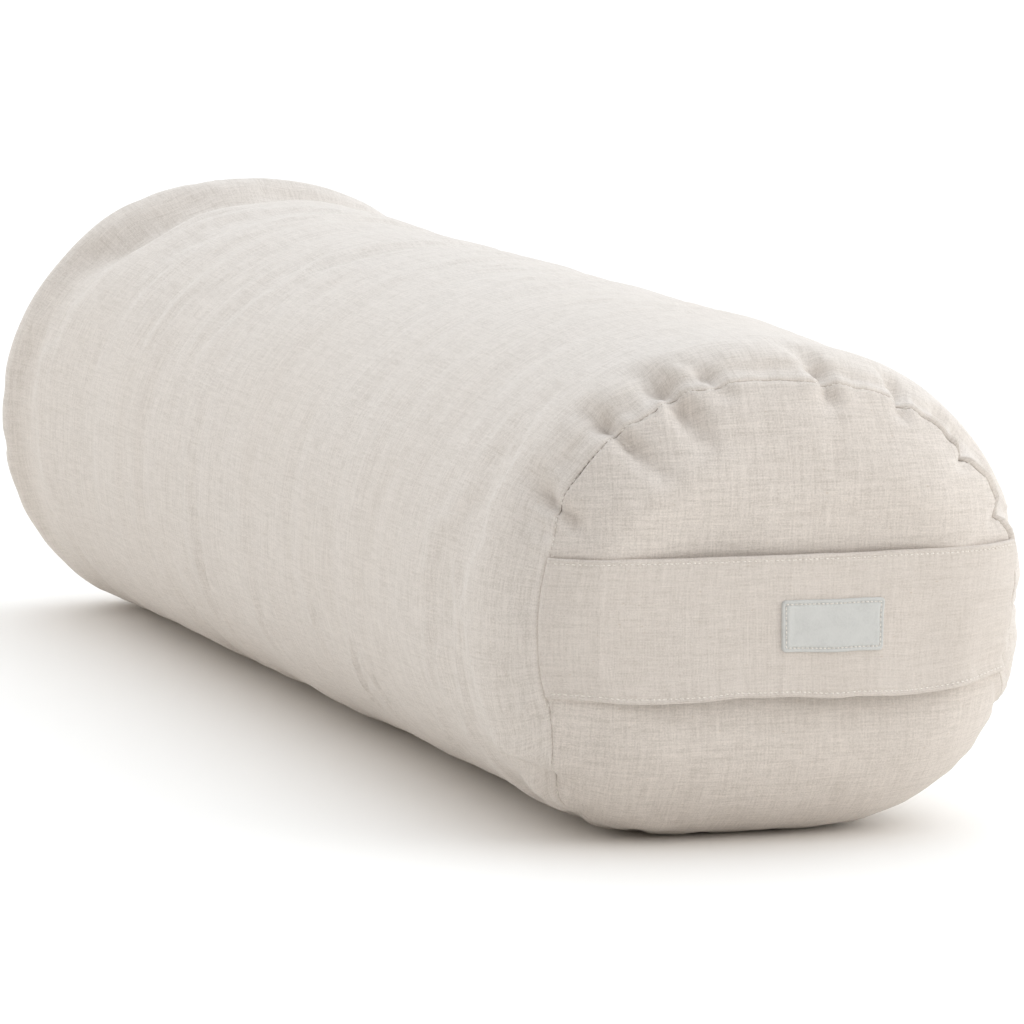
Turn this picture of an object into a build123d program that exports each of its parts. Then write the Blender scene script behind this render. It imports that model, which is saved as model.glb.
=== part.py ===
from build123d import *
import math
import os

# Bolster pillow, lying on its long side. Millimetres.
# +X is the bolster's right-hand side (the side with the zip), +Y runs along
# the bolster away from the carry-handle end, and +Z is up. The origin is on
# the surface the bolster lies on, under its middle.

# ---------------------------------------------------------------- sizes
LENGTH = 650.0          # overall length of the stuffed cover
HALF_W = 114.0          # half the width at the widest height
HEIGHT = 195.0          # height when lying on its flat
FLAT_HALF = 34.0        # half the width of the flat it lies on
SIDE_LOW = 75.0         # the side walls are upright from here ...
SIDE_HIGH = 101.0       # ... to here
SIDE_MID = (SIDE_LOW + SIDE_HIGH) / 2
END_R = 36.0            # radius that the cover turns through into its ends
SEAM_IN = 6.0           # the end seams lie this far inside the overall length

COVER_T = 0.8           # linen
LINER_INSET = 2.6       # liner's outside, inwards from the cover's outside
LINER_T = 0.6           # calico
FILL_INSET = 3.3        # stuffing's outside, inwards from the cover's outside
SEAM_GAP = 0.9          # width of the stitched seam line between two panels
THREAD_CLEAR = 0.05     # a thread lies this far off the cloth beside it

HANDLE_W = 55.0         # carry handle, cut width after folding
HANDLE_T = 1.8          # two linen layers over a stiffening strip
HANDLE_LINEN = 0.6
HANDLE_MID = 88.5       # height of its centre line
HANDLE_CLEAR = 0.5      # from the cover where it turns round the end
HANDLE_TURN = 9.0       # degrees left when it leaves the end's rounding
STITCH_W = 0.7
STITCH_T = 0.35
STITCH_IN = 3.0         # topstitching, in from the handle's edges

LABEL_W = 43.0
LABEL_H = 20.0
LABEL_T = 1.1
LABEL_R = 2.0
LABEL_X = 17.5          # centre, right of the middle
LABEL_Z = HANDLE_MID
LABEL_STITCH_IN = 2.0

ZIP_HALF = 240.0        # half the length of the zip's opening
SLOT_HALF = 5.2         # half the width of the gap between the linen edges
TAPE_T = 0.5
TAPE_OUT = 13.0         # tape's outer edge, from the zip's centre line
TAPE_IN = 0.6           # tape's inner edge
TAPE_DEPTH = 0.9        # tape's outside, in from the cover's outside
COIL_HALF = 3.0         # the closed coil's half width
COIL_T = 2.2
COIL_GAP = 0.6          # half the gap between the two coils
STOP_L = 3.0
SLIDER_L = 11.0
SLIDER_HALF = 4.3
SLIDER_START = 10.0     # slider's centre from the front end of the zip
SLIDER_TRAVEL = 460.0
PULL_R = 0.6            # radius of the pull's bar, which turns in the crown

os.makedirs("parts", exist_ok=True)

HALF_L = LENGTH / 2
SEAM_Y = HALF_L - SEAM_IN
SIDE_X = HALF_W


def section(inset):
    """Closed outline across the bolster, taken in by inset all round."""
    d = inset
    Line((-FLAT_HALF, d), (FLAT_HALF, d))
    EllipticalCenterArc((FLAT_HALF, SIDE_LOW), HALF_W - FLAT_HALF - d, SIDE_LOW - d, 270, arc_size=90)
    Line((HALF_W - d, SIDE_LOW), (HALF_W - d, SIDE_HIGH))
    EllipticalCenterArc((0, SIDE_HIGH), HALF_W - d, HEIGHT - SIDE_HIGH - d, 0, arc_size=90)
    EllipticalCenterArc((0, SIDE_HIGH), HALF_W - d, HEIGHT - SIDE_HIGH - d, 90, arc_size=90)
    Line((-HALF_W + d, SIDE_HIGH), (-HALF_W + d, SIDE_LOW))
    EllipticalCenterArc((-FLAT_HALF, SIDE_LOW), HALF_W - FLAT_HALF - d, SIDE_LOW - d, 180, arc_size=90)


def cushion_form(inset):
    """The bolster's whole outline as a solid, taken in by inset on every face."""
    with BuildPart() as form:
        with BuildSketch(Plane.XZ):
            with BuildLine():
                section(inset)
            make_face()
        extrude(amount=HALF_L - inset, both=True)
        ends = form.edges().filter_by(lambda e: abs(abs(e.center().Y) - (HALF_L - inset)) < 0.01)
        fillet(ends, END_R - inset)
    return form.part


def slab(y0, y1):
    """A block over the whole section between two stations along Y."""
    return Solid.make_box(4 * HALF_W, y1 - y0, 2 * HEIGHT, Plane(origin=(-2 * HALF_W, y0, -HEIGHT / 2)))


def strip(x0, x1, z0, z1, y0, y1):
    """A straight strip along Y, added to the sub-part being built."""
    with Locations(((x0 + x1) / 2, (y0 + y1) / 2, (z0 + z1) / 2)):
        Box(x1 - x0, y1 - y0, z1 - z0)


outside = cushion_form(0)
cover_inside = cushion_form(COVER_T)
liner_outside = cushion_form(LINER_INSET)
liner_inside = cushion_form(LINER_INSET + LINER_T)
fill_outside = cushion_form(FILL_INSET)
seam_inside = cushion_form(COVER_T - 0.1)


def save(piece, name):
    piece.part.label = name
    export_step(piece.part, f"parts/{name}.step")


# ------------------------------------------------------------ stuffing
with BuildPart() as filling:
    add(fill_outside)
save(filling, "filling")

# ------------------------------------------------------- calico liner
with BuildPart() as liner_tube:
    add(liner_outside)
    add(slab(-SEAM_Y + SEAM_GAP / 2, SEAM_Y - SEAM_GAP / 2), mode=Mode.INTERSECT)
    add(liner_inside, mode=Mode.SUBTRACT)
save(liner_tube, "liner_tube")

with BuildPart() as liner_front_end:
    add(liner_outside)
    add(slab(-HALF_L - 5, -SEAM_Y), mode=Mode.INTERSECT)
    add(liner_inside, mode=Mode.SUBTRACT)
save(liner_front_end, "liner_front_end")

with BuildPart() as liner_rear_end:
    add(liner_outside)
    add(slab(SEAM_Y, HALF_L + 5), mode=Mode.INTERSECT)
    add(liner_inside, mode=Mode.SUBTRACT)
save(liner_rear_end, "liner_rear_end")

# -------------------------------------------------------- linen cover
with BuildPart() as cover_tube:
    add(outside)
    add(slab(-SEAM_Y + SEAM_GAP / 2, SEAM_Y - SEAM_GAP / 2), mode=Mode.INTERSECT)
    add(cover_inside, mode=Mode.SUBTRACT)
    with BuildSketch(Plane.YZ.offset(SIDE_X - 6)):
        with Locations((0, SIDE_MID)):
            Rectangle(2 * ZIP_HALF, 2 * SLOT_HALF)
    extrude(amount=12, mode=Mode.SUBTRACT)
save(cover_tube, "cover_tube")

with BuildPart() as cover_front_end:
    add(outside)
    add(slab(-HALF_L - 5, -SEAM_Y - SEAM_GAP / 2), mode=Mode.INTERSECT)
    add(cover_inside, mode=Mode.SUBTRACT)
save(cover_front_end, "cover_front_end")

with BuildPart() as cover_rear_end:
    add(outside)
    add(slab(SEAM_Y + SEAM_GAP / 2, HALF_L + 5), mode=Mode.INTERSECT)
    add(cover_inside, mode=Mode.SUBTRACT)
save(cover_rear_end, "cover_rear_end")

# the lines of lockstitch that hold each end panel to the tube
with BuildPart() as front_seam_thread:
    add(outside)
    add(slab(-SEAM_Y - SEAM_GAP / 2 + THREAD_CLEAR, -SEAM_Y + SEAM_GAP / 2 - THREAD_CLEAR), mode=Mode.INTERSECT)
    add(seam_inside, mode=Mode.SUBTRACT)
save(front_seam_thread, "front_seam_thread")

with BuildPart() as rear_seam_thread:
    add(outside)
    add(slab(SEAM_Y - SEAM_GAP / 2 + THREAD_CLEAR, SEAM_Y + SEAM_GAP / 2 - THREAD_CLEAR), mode=Mode.INTERSECT)
    add(seam_inside, mode=Mode.SUBTRACT)
save(rear_seam_thread, "rear_seam_thread")

# the tube's own closing seam, sewn at each end of the zip
with BuildPart() as side_seam_thread:
    for y_mid in (-(ZIP_HALF + 24), ZIP_HALF + 24):
        with BuildSketch(Plane.YZ.offset(SIDE_X + THREAD_CLEAR)):
            with Locations((y_mid, SIDE_MID)):
                Rectangle(40, STITCH_W)
        extrude(amount=STITCH_T)
save(side_seam_thread, "side_seam_thread")

# -------------------------------------------------------- carry handle
# In plan it follows the rounded end from the seam, then bows across the end.
ROUND_X = HALF_W - END_R
ROUND_Y = -HALF_L + END_R
SEAM_TURN = math.degrees(math.acos((END_R - SEAM_IN + SEAM_GAP) / END_R))


def handle_path(out):
    """Half of the handle's plan line, out from the cover: start, mid, turn, crown."""
    r = END_R + out
    pts = []
    for deg in (SEAM_TURN, (SEAM_TURN + HANDLE_TURN) / 2, HANDLE_TURN):
        a = math.radians(deg)
        pts.append((ROUND_X + r * math.sin(a), ROUND_Y - r * math.cos(a)))
    a = math.radians(HANDLE_TURN)
    big = ROUND_X / math.sin(a) + r
    centre_y = pts[2][1] + big * math.cos(a)
    h = math.radians(HANDLE_TURN / 2)
    pts.append((big * math.sin(h), centre_y - big * math.cos(h)))
    pts.append((0.0, centre_y - big))
    return pts


def band(inner, outer, z_mid, width):
    """A bowed band of cloth between two offsets from the cover, width high in Z."""
    a, b = handle_path(inner), handle_path(outer)
    with BuildSketch(Plane.XY.offset(z_mid - width / 2)) as face:
        with BuildLine():
            ThreePointArc(a[0], a[1], a[2])
            ThreePointArc(a[2], a[3], a[4])
            ThreePointArc(a[4], (-a[3][0], a[3][1]), (-a[2][0], a[2][1]))
            ThreePointArc((-a[2][0], a[2][1]), (-a[1][0], a[1][1]), (-a[0][0], a[0][1]))
            Line((-a[0][0], a[0][1]), (-b[0][0], b[0][1]))
            ThreePointArc((-b[0][0], b[0][1]), (-b[1][0], b[1][1]), (-b[2][0], b[2][1]))
            ThreePointArc((-b[2][0], b[2][1]), (-b[3][0], b[3][1]), b[4])
            ThreePointArc(b[4], b[3], b[2])
            ThreePointArc(b[2], b[1], b[0])
            Line(b[0], a[0])
        make_face()
    return extrude(face.sketch, amount=width)


H_IN = HANDLE_CLEAR
H_OUT = HANDLE_CLEAR + HANDLE_T

# the handle is one strip of linen folded round the stiffener, so it is a flat tube
handle_outside = band(H_IN, H_OUT, HANDLE_MID, HANDLE_W)
handle_inside = band(H_IN + HANDLE_LINEN, H_OUT - HANDLE_LINEN, HANDLE_MID, HANDLE_W - 2.4)
stiffener = band(H_IN + HANDLE_LINEN + 0.05, H_OUT - HANDLE_LINEN - 0.05, HANDLE_MID, HANDLE_W - 2.6)
ROW_IN = H_OUT + THREAD_CLEAR
row_upper = band(ROW_IN, ROW_IN + STITCH_T, HANDLE_MID + HANDLE_W / 2 - STITCH_IN, STITCH_W)
row_lower = band(ROW_IN, ROW_IN + STITCH_T, HANDLE_MID - HANDLE_W / 2 + STITCH_IN, STITCH_W)
label_band = band(ROW_IN, ROW_IN + LABEL_T, LABEL_Z, LABEL_H)
label_row_band = band(ROW_IN + LABEL_T + THREAD_CLEAR, ROW_IN + LABEL_T + THREAD_CLEAR + STITCH_T, LABEL_Z, LABEL_H)

with BuildPart() as carry_handle:
    add(handle_outside)
    add(handle_inside, mode=Mode.SUBTRACT)
save(carry_handle, "carry_handle")

with BuildPart() as handle_interlining:
    add(stiffener)
save(handle_interlining, "handle_interlining")

with BuildPart() as handle_topstitch_upper:
    add(row_upper)
save(handle_topstitch_upper, "handle_topstitch_upper")

with BuildPart() as handle_topstitch_lower:
    add(row_lower)
save(handle_topstitch_lower, "handle_topstitch_lower")

# the label lies on the handle and takes its bow
with BuildPart() as label_patch:
    with BuildSketch(Plane.XZ.offset(HALF_L - 20)):
        with Locations((LABEL_X, LABEL_Z)):
            RectangleRounded(LABEL_W, LABEL_H, LABEL_R)
    extrude(amount=60)
    add(label_band, mode=Mode.INTERSECT)
save(label_patch, "label_patch")

with BuildPart() as label_stitching:
    with BuildSketch(Plane.XZ.offset(HALF_L - 20)):
        with Locations((LABEL_X, LABEL_Z)):
            RectangleRounded(LABEL_W - 2 * LABEL_STITCH_IN, LABEL_H - 2 * LABEL_STITCH_IN, 1.6)
            RectangleRounded(LABEL_W - 2 * LABEL_STITCH_IN - 1.2, LABEL_H - 2 * LABEL_STITCH_IN - 1.2, 1.0, mode=Mode.SUBTRACT)
    extrude(amount=60)
    add(label_row_band, mode=Mode.INTERSECT)
save(label_stitching, "label_stitching")

# ----------------------------------------------------------------- zip
TAPE_X1 = SIDE_X - TAPE_DEPTH        # tape's outer face
TAPE_X0 = TAPE_X1 - TAPE_T
COIL_X1 = TAPE_X1 + COIL_T


for side, name in ((1, "upper"), (-1, "lower")):
    z_near, z_far = SIDE_MID + side * TAPE_IN, SIDE_MID + side * TAPE_OUT
    with BuildPart() as zip_tape:
        strip(TAPE_X0, TAPE_X1, min(z_near, z_far), max(z_near, z_far), -ZIP_HALF - 8, ZIP_HALF + 8)
    save(zip_tape, f"zip_tape_{name}")

    z_near, z_far = SIDE_MID + side * COIL_GAP, SIDE_MID + side * COIL_HALF
    with BuildPart() as zip_coil:
        strip(TAPE_X1, COIL_X1, min(z_near, z_far), max(z_near, z_far), -ZIP_HALF + 5, ZIP_HALF - 5)
        outer = zip_coil.edges().filter_by(Axis.Y).group_by(Axis.X)[-1]
        fillet(outer, 0.8)
    save(zip_coil, f"zip_coil_{name}")

    # a row of lockstitch holds the tape to the folded edge of the linen
    z_sew = SIDE_MID + side * (SLOT_HALF + 2.5)
    with BuildPart() as zip_sewing:
        strip(SIDE_X + THREAD_CLEAR, SIDE_X + THREAD_CLEAR + STITCH_T, z_sew - STITCH_W / 2, z_sew + STITCH_W / 2,
              -ZIP_HALF, ZIP_HALF)
    save(zip_sewing, f"zip_topstitch_{name}")

# two metal stops at the closed end, one across both coils at the other
with BuildPart() as zip_top_stops:
    for side in (1, -1):
        z0, z1 = sorted((SIDE_MID + side * COIL_GAP, SIDE_MID + side * COIL_HALF))
        strip(TAPE_X1, COIL_X1 + 0.3, z0, z1, -ZIP_HALF + 1, -ZIP_HALF + 1 + STOP_L)
save(zip_top_stops, "zip_top_stops")

with BuildPart() as zip_bottom_stop:
    strip(TAPE_X1, COIL_X1 + 0.3, SIDE_MID - COIL_HALF, SIDE_MID + COIL_HALF, ZIP_HALF - 4, ZIP_HALF - 0.5)
save(zip_bottom_stop, "zip_bottom_stop")

# slider: two wings either side of the coils, joined by a post between them
Y_S = -ZIP_HALF + SLIDER_START
TOP_X0, TOP_X1 = COIL_X1 + 0.3, COIL_X1 + 1.5
LOW_X1, LOW_X0 = TAPE_X0 - 0.15, TAPE_X0 - 0.85
AXIS_X = TOP_X1 + 1.5
with BuildPart() as zip_slider:
    for x0, x1 in ((TOP_X0, TOP_X1), (LOW_X0, LOW_X1)):
        with BuildSketch(Plane.YZ.offset(x0)):
            with BuildLine():
                Polyline((Y_S - SLIDER_L / 2, SIDE_MID - 3.2), (Y_S - SLIDER_L / 2 + 3.5, SIDE_MID - SLIDER_HALF),
                         (Y_S + SLIDER_L / 2 - 1.5, SIDE_MID - SLIDER_HALF + 0.6), (Y_S + SLIDER_L / 2, SIDE_MID - 2.6),
                         (Y_S + SLIDER_L / 2, SIDE_MID + 2.6), (Y_S + SLIDER_L / 2 - 1.5, SIDE_MID + SLIDER_HALF - 0.6),
                         (Y_S - SLIDER_L / 2 + 3.5, SIDE_MID + SLIDER_HALF), (Y_S - SLIDER_L / 2, SIDE_MID + 3.2), close=True)
            make_face()
        extrude(amount=x1 - x0)
    strip(LOW_X1, TOP_X0, SIDE_MID - 0.45, SIDE_MID + 0.45, Y_S - 4.5, Y_S - 1.5)
    # side lips that close over the outside of the coils
    for side in (1, -1):
        z0, z1 = sorted((SIDE_MID + side * (COIL_HALF + 0.35), SIDE_MID + side * (SLIDER_HALF - 0.6)))
        strip(TAPE_X1 + 0.4, TOP_X0, z0, z1, Y_S - 1.5, Y_S + 3.5)
    # the crown, a bridge that the pull's bar turns in
    with BuildSketch(Plane.XY.offset(SIDE_MID - 0.8)):
        with BuildLine():
            Polyline((TOP_X1, Y_S - 4.0), (TOP_X1 + 2.4, Y_S - 3.2), (TOP_X1 + 3.4, Y_S - 1.6), (TOP_X1 + 3.4, Y_S + 1.6),
                     (TOP_X1 + 2.4, Y_S + 3.2), (TOP_X1, Y_S + 4.0), close=True)
        make_face()
        with Locations((AXIS_X, Y_S)):
            Rectangle(1.5, 3.6, mode=Mode.SUBTRACT)
    extrude(amount=1.6)
save(zip_slider, "zip_slider")

# pull: a bar through the crown, two arms past it, and a flat tab
PULL_HALF = 3.3
with BuildPart() as zip_pull:
    with BuildSketch(Plane.XY.offset(SIDE_MID - PULL_HALF)):
        with Locations((AXIS_X, Y_S)):
            Circle(PULL_R)
    extrude(amount=2 * PULL_HALF)
    for side in (1, -1):
        z0, z1 = sorted((SIDE_MID + side * 1.6, SIDE_MID + side * PULL_HALF))
        strip(AXIS_X - PULL_R, AXIS_X + PULL_R, z0, z1, Y_S - 0.4, Y_S + 7.0)
    with BuildSketch(Plane.YZ.offset(AXIS_X - PULL_R)):
        with BuildLine():
            l1 = Line((Y_S + 5.4, SIDE_MID - PULL_HALF), (Y_S + 23.0, SIDE_MID - 4.0))
            l2 = ThreePointArc(l1 @ 1, (Y_S + 27.0, SIDE_MID), (Y_S + 23.0, SIDE_MID + 4.0))
            l3 = Line(l2 @ 1, (Y_S + 5.4, SIDE_MID + PULL_HALF))
            Line(l3 @ 1, l1 @ 0)
        make_face()
        with Locations((Y_S + 21.5, SIDE_MID)):
            SlotCenterToCenter(2.4, 3.0, rotation=90, mode=Mode.SUBTRACT)
    extrude(amount=2 * PULL_R)
save(zip_pull, "zip_pull")

print("handle crown y", handle_path(H_IN)[4], handle_path(H_OUT)[4], "seam end x", handle_path(H_IN)[0])
print("coil outer x", COIL_X1, "pull axis", AXIS_X, Y_S, SIDE_MID, "low wing", LOW_X0)
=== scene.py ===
import math

import bmesh
import bpy
import numpy as np
from mathutils import Matrix, Vector


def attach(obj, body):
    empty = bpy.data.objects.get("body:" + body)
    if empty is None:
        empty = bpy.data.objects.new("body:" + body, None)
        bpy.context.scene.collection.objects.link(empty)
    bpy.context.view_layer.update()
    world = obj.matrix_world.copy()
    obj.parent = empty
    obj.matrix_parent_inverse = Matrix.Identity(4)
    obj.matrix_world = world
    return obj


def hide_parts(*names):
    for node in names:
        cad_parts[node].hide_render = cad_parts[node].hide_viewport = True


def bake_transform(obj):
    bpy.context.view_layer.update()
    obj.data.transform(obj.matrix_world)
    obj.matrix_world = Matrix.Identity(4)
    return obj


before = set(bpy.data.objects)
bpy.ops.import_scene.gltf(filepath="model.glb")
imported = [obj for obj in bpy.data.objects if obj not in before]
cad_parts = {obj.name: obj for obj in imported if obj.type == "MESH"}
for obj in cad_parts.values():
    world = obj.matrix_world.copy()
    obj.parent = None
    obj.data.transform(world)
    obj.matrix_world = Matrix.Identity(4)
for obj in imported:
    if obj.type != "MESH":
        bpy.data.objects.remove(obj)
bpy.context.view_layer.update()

MM = 0.001
SC = bpy.context.scene

# Bolster pillow. Lengths below are millimetres until a mesh is made.

# ------------------------------------------------------------ the cover's shape (mm)
HW, HT, FLAT, ZC = 113.8, 193.3, 19.3, 90.9     # half width, height, half of the flat, height of the widest line
E_TOP, E_LOW = 2.06, 2.30                       # superellipse exponents above and below the widest line
RF, RR = 39.3, 27.3                             # rounding into the front and rear ends
HL, SEAM_Y = 325.0, 319.0
ZIP_Z, SLOT = 88.0, 5.2
KY = np.array([-325, -270, -200, -100, 0, 100, 200, 255, 283, 305, 325.0])
KM = np.array([-0.1, -0.5, -1.0, 0.9, 2.5, 4.6, 5.4, 4.4, 5.0, 1.2, 1.1])   # how far the section draws in, along the length


def hermite(x, xs, ys):
    """Smooth curve through (xs, ys) that doesn't overshoot."""
    h, d = np.diff(xs), np.diff(ys) / np.diff(xs)
    m = np.zeros(len(xs))
    m[0], m[-1] = d[0], d[-1]
    same = d[:-1] * d[1:] > 0
    m[1:-1][same] = 2 * d[:-1][same] * d[1:][same] / (d[:-1][same] + d[1:][same])
    x = np.clip(x, xs[0], xs[-1])
    i = np.clip(np.searchsorted(xs, x) - 1, 0, len(h) - 1)
    t = (x - xs[i]) / h[i]
    return ((1 + 2 * t) * (1 - t) ** 2 * ys[i] + t * (1 - t) ** 2 * h[i] * m[i]
            + t * t * (3 - 2 * t) * ys[i + 1] + t * t * (t - 1) * h[i] * m[i + 1])


def section_table():
    """Dense points round the section, from the +X side over the top: point, inward direction, outward normal, length so far."""
    def arc(t0, t1, n, e, cx, zr, xr):
        t = np.linspace(t0, t1, n, endpoint=False)
        c, s = np.cos(t), np.sin(t)
        ca, sa = np.sign(c) * np.abs(c) ** (2 / e), np.sign(s) * np.abs(s) ** (2 / e)
        return np.c_[cx + xr * ca, ZC + zr * sa], np.c_[ca, sa]
    pieces = [arc(0, np.pi, 2400, E_TOP, 0, HT - ZC, HW),
              arc(np.pi, 1.5 * np.pi, 1200, E_LOW, -FLAT, ZC, HW - FLAT)]
    x = np.linspace(-FLAT, FLAT, 300, endpoint=False)
    pieces.append((np.c_[x, 0 * x], np.c_[0 * x, 0 * x - 1]))
    pieces.append(arc(1.5 * np.pi, 2 * np.pi, 1200, E_LOW, FLAT, ZC, HW - FLAT))
    p, g = (np.concatenate([a[k] for a in pieces]) for k in (0, 1))
    e = np.roll(p, -1, 0) - np.roll(p, 1, 0)
    n = np.c_[e[:, 1], -e[:, 0]]
    n /= np.linalg.norm(n, axis=1, keepdims=True)
    q = np.vstack([p, p[:1]])
    length = np.r_[0, np.cumsum(np.linalg.norm(np.diff(q, axis=0), axis=1))]
    return p, g, n, length


TAB_P, TAB_G, TAB_N, TAB_L = section_table()
PER = TAB_L[-1]


def on_section(u):
    """Point, inward direction and normal at length u round the section."""
    u = np.mod(u, PER)
    def pick(a):
        b = np.vstack([a, a[:1]])
        return np.stack([np.interp(u, TAB_L, b[:, k]) for k in (0, 1)], -1)
    n = pick(TAB_N)
    return pick(TAB_P), pick(TAB_G), n / np.linalg.norm(n, axis=-1, keepdims=True)


def u_of_side(z, side=1):
    """Length round the section of the point at height z on the +X (1) or -X (-1) side."""
    m = np.where((TAB_P[:, 0] * side > 0) & (np.abs(TAB_P[:, 1] - z) < 3))[0]
    return TAB_L[m[np.argmin(np.abs(TAB_P[m, 1] - z))]]


A_F = np.arcsin((SEAM_Y - (HL - RF)) / RF)
A_R = np.arcsin((SEAM_Y - (HL - RR)) / RR)
S_1 = RF * A_F
S_2 = S_1 + (HL - RR) + (HL - RF)
S_END = S_2 + RR * A_R
U_ZIP = u_of_side(ZIP_Z)


def meridian(s):
    """Inset, y and tilt at s mm from the front seam along the tube. s below 0 goes on over the front panel, past S_END over the rear one."""
    a = np.where(s < S_1, -(A_F - s / RF), np.where(s < S_2, 0.0, (s - S_2) / RR))
    flat_f, flat_r = a < -np.pi / 2, a > np.pi / 2
    over = np.where(flat_f, (-a - np.pi / 2) * RF, np.where(flat_r, (a - np.pi / 2) * RR, 0.0))
    a = np.clip(a, -np.pi / 2, np.pi / 2)
    r = np.where(s < S_1, RF, RR)
    d = r * (1 - np.cos(a)) + over
    y = np.where(s < S_1, -(HL - RF) + RF * np.sin(a), np.where(s < S_2, -(HL - RF) + (s - S_1), (HL - RR) + RR * np.sin(a)))
    return d, y, a


def near_zip(u):
    """1 beside the zip, falling to 0 further round."""
    du = (u - U_ZIP + PER / 2) % PER - PER / 2
    t = np.clip((np.abs(du) - 14) / 34, 0, 1)
    return 1 - t * t * (3 - 2 * t)


def base(u, s):
    """Smooth cover at (u, s): position and outward normal (mm)."""
    p, g, n = on_section(u)
    d, y, a = meridian(s)
    x, z = p[..., 0] - d * g[..., 0], p[..., 1] - d * g[..., 1]
    m = hermite(y, KY, KM)
    b = near_zip(u)
    m = m * (1 - b) + (HW - 114.0) * b * np.cos(a)
    w = np.clip((p[..., 1] - 10) / 50, 0, 1)
    w = w * w * (3 - 2 * w)
    rx, rz = x, z - ZC
    rl = np.maximum(np.hypot(rx, rz), 1e-6)
    k = 1 - m * w / rl
    pos = np.stack([rx * k, y + 0 * x, rz * k + ZC], -1)
    nrm = np.stack([n[..., 0] * np.cos(a), np.sin(a) + 0 * x, n[..., 1] * np.cos(a)], -1)
    return pos, nrm


# ------------------------------------------------------------ where the seams run
# Length round the section and how far the front seam lies up the rounding there.
SEAM_KNOTS = [(0, 4.5), (12, 7.5), (25, 11.5), (31, 11), (40, 7.4), (47, 12), (52, 12.8), (60, 11), (66, 9.2), (73, 7.4), (80, 9.4), (92, 10.5), (108, 10.5),
              (123, 10.5), (131, 9.5), (140, 9), (147, 9.0), (157, 7.4), (166, 8), (183, 9.0), (196, 9.4), (203, 8.8), (210, 10.8), (218, 12.0), (225, 10.2),
              (231, 8.6), (237, 8.8), (243, 10.0), (248, 10.8), (253, 9.8), (260, 9.0), (268, 9.0), (280, 8.6), (289, 8.0), (296, 6.0), (306, 3.6), (320, 2.4),
              (345, 2.4), (378, 3), (390, 5), (400, 9), (410, 15), (420, 24), (433, 32), (450, 37), (480, 38.5), (540, 39.5), (600, 38.5), (618, 36), (630, 28), (640, 15.5), (648, 5.5), (656, 3.5)]


def seam_lift(u):
    """How far up the rounding the front seam lies, mm along the meridian."""
    k = np.array(SEAM_KNOTS, float)
    x = np.r_[k[-3:, 0] - PER, k[:, 0], k[:3, 0] + PER]
    y = np.r_[k[-3:, 1], k[:, 1], k[:3, 1]]
    return hermite(np.mod(u, PER), x, y)


def ramp(x):
    x = np.clip(x, 0, 1)
    return x * x * (3 - 2 * x)


def front_s(u, s):
    """Meridian place of a point s mm from the front seam (negative on the end panel)."""
    return s + seam_lift(u) * (1 - ramp(np.abs(s) / 70.0))


def rear_s(u, s):
    return s


def wrap(du):
    return (du + PER / 2) % PER - PER / 2


RNG = np.random.RandomState(7)


def smooth_noise(x, y, seed, period=None):
    """Value noise on a lattice, 0 to 1, with an optional period along x."""
    xi, yi = np.floor(x).astype(int), np.floor(y).astype(int)
    fx, fy = x - xi, y - yi
    fx, fy = fx * fx * fx * (fx * (fx * 6 - 15) + 10), fy * fy * fy * (fy * (fy * 6 - 15) + 10)
    def h(a, b):
        if period:
            a = np.mod(a, period)
        n = (a * 374761393 + b * 668265263 + seed * 974711) & 0xFFFFFFFF
        n = ((n ^ (n >> 13)) * 1274126177) & 0xFFFFFFFF
        return ((n ^ (n >> 16)) & 0xFFFF) / 65535.0
    return ((h(xi, yi) * (1 - fx) + h(xi + 1, yi) * fx) * (1 - fy) + (h(xi, yi + 1) * (1 - fx) + h(xi + 1, yi + 1) * fx) * fy)


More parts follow.
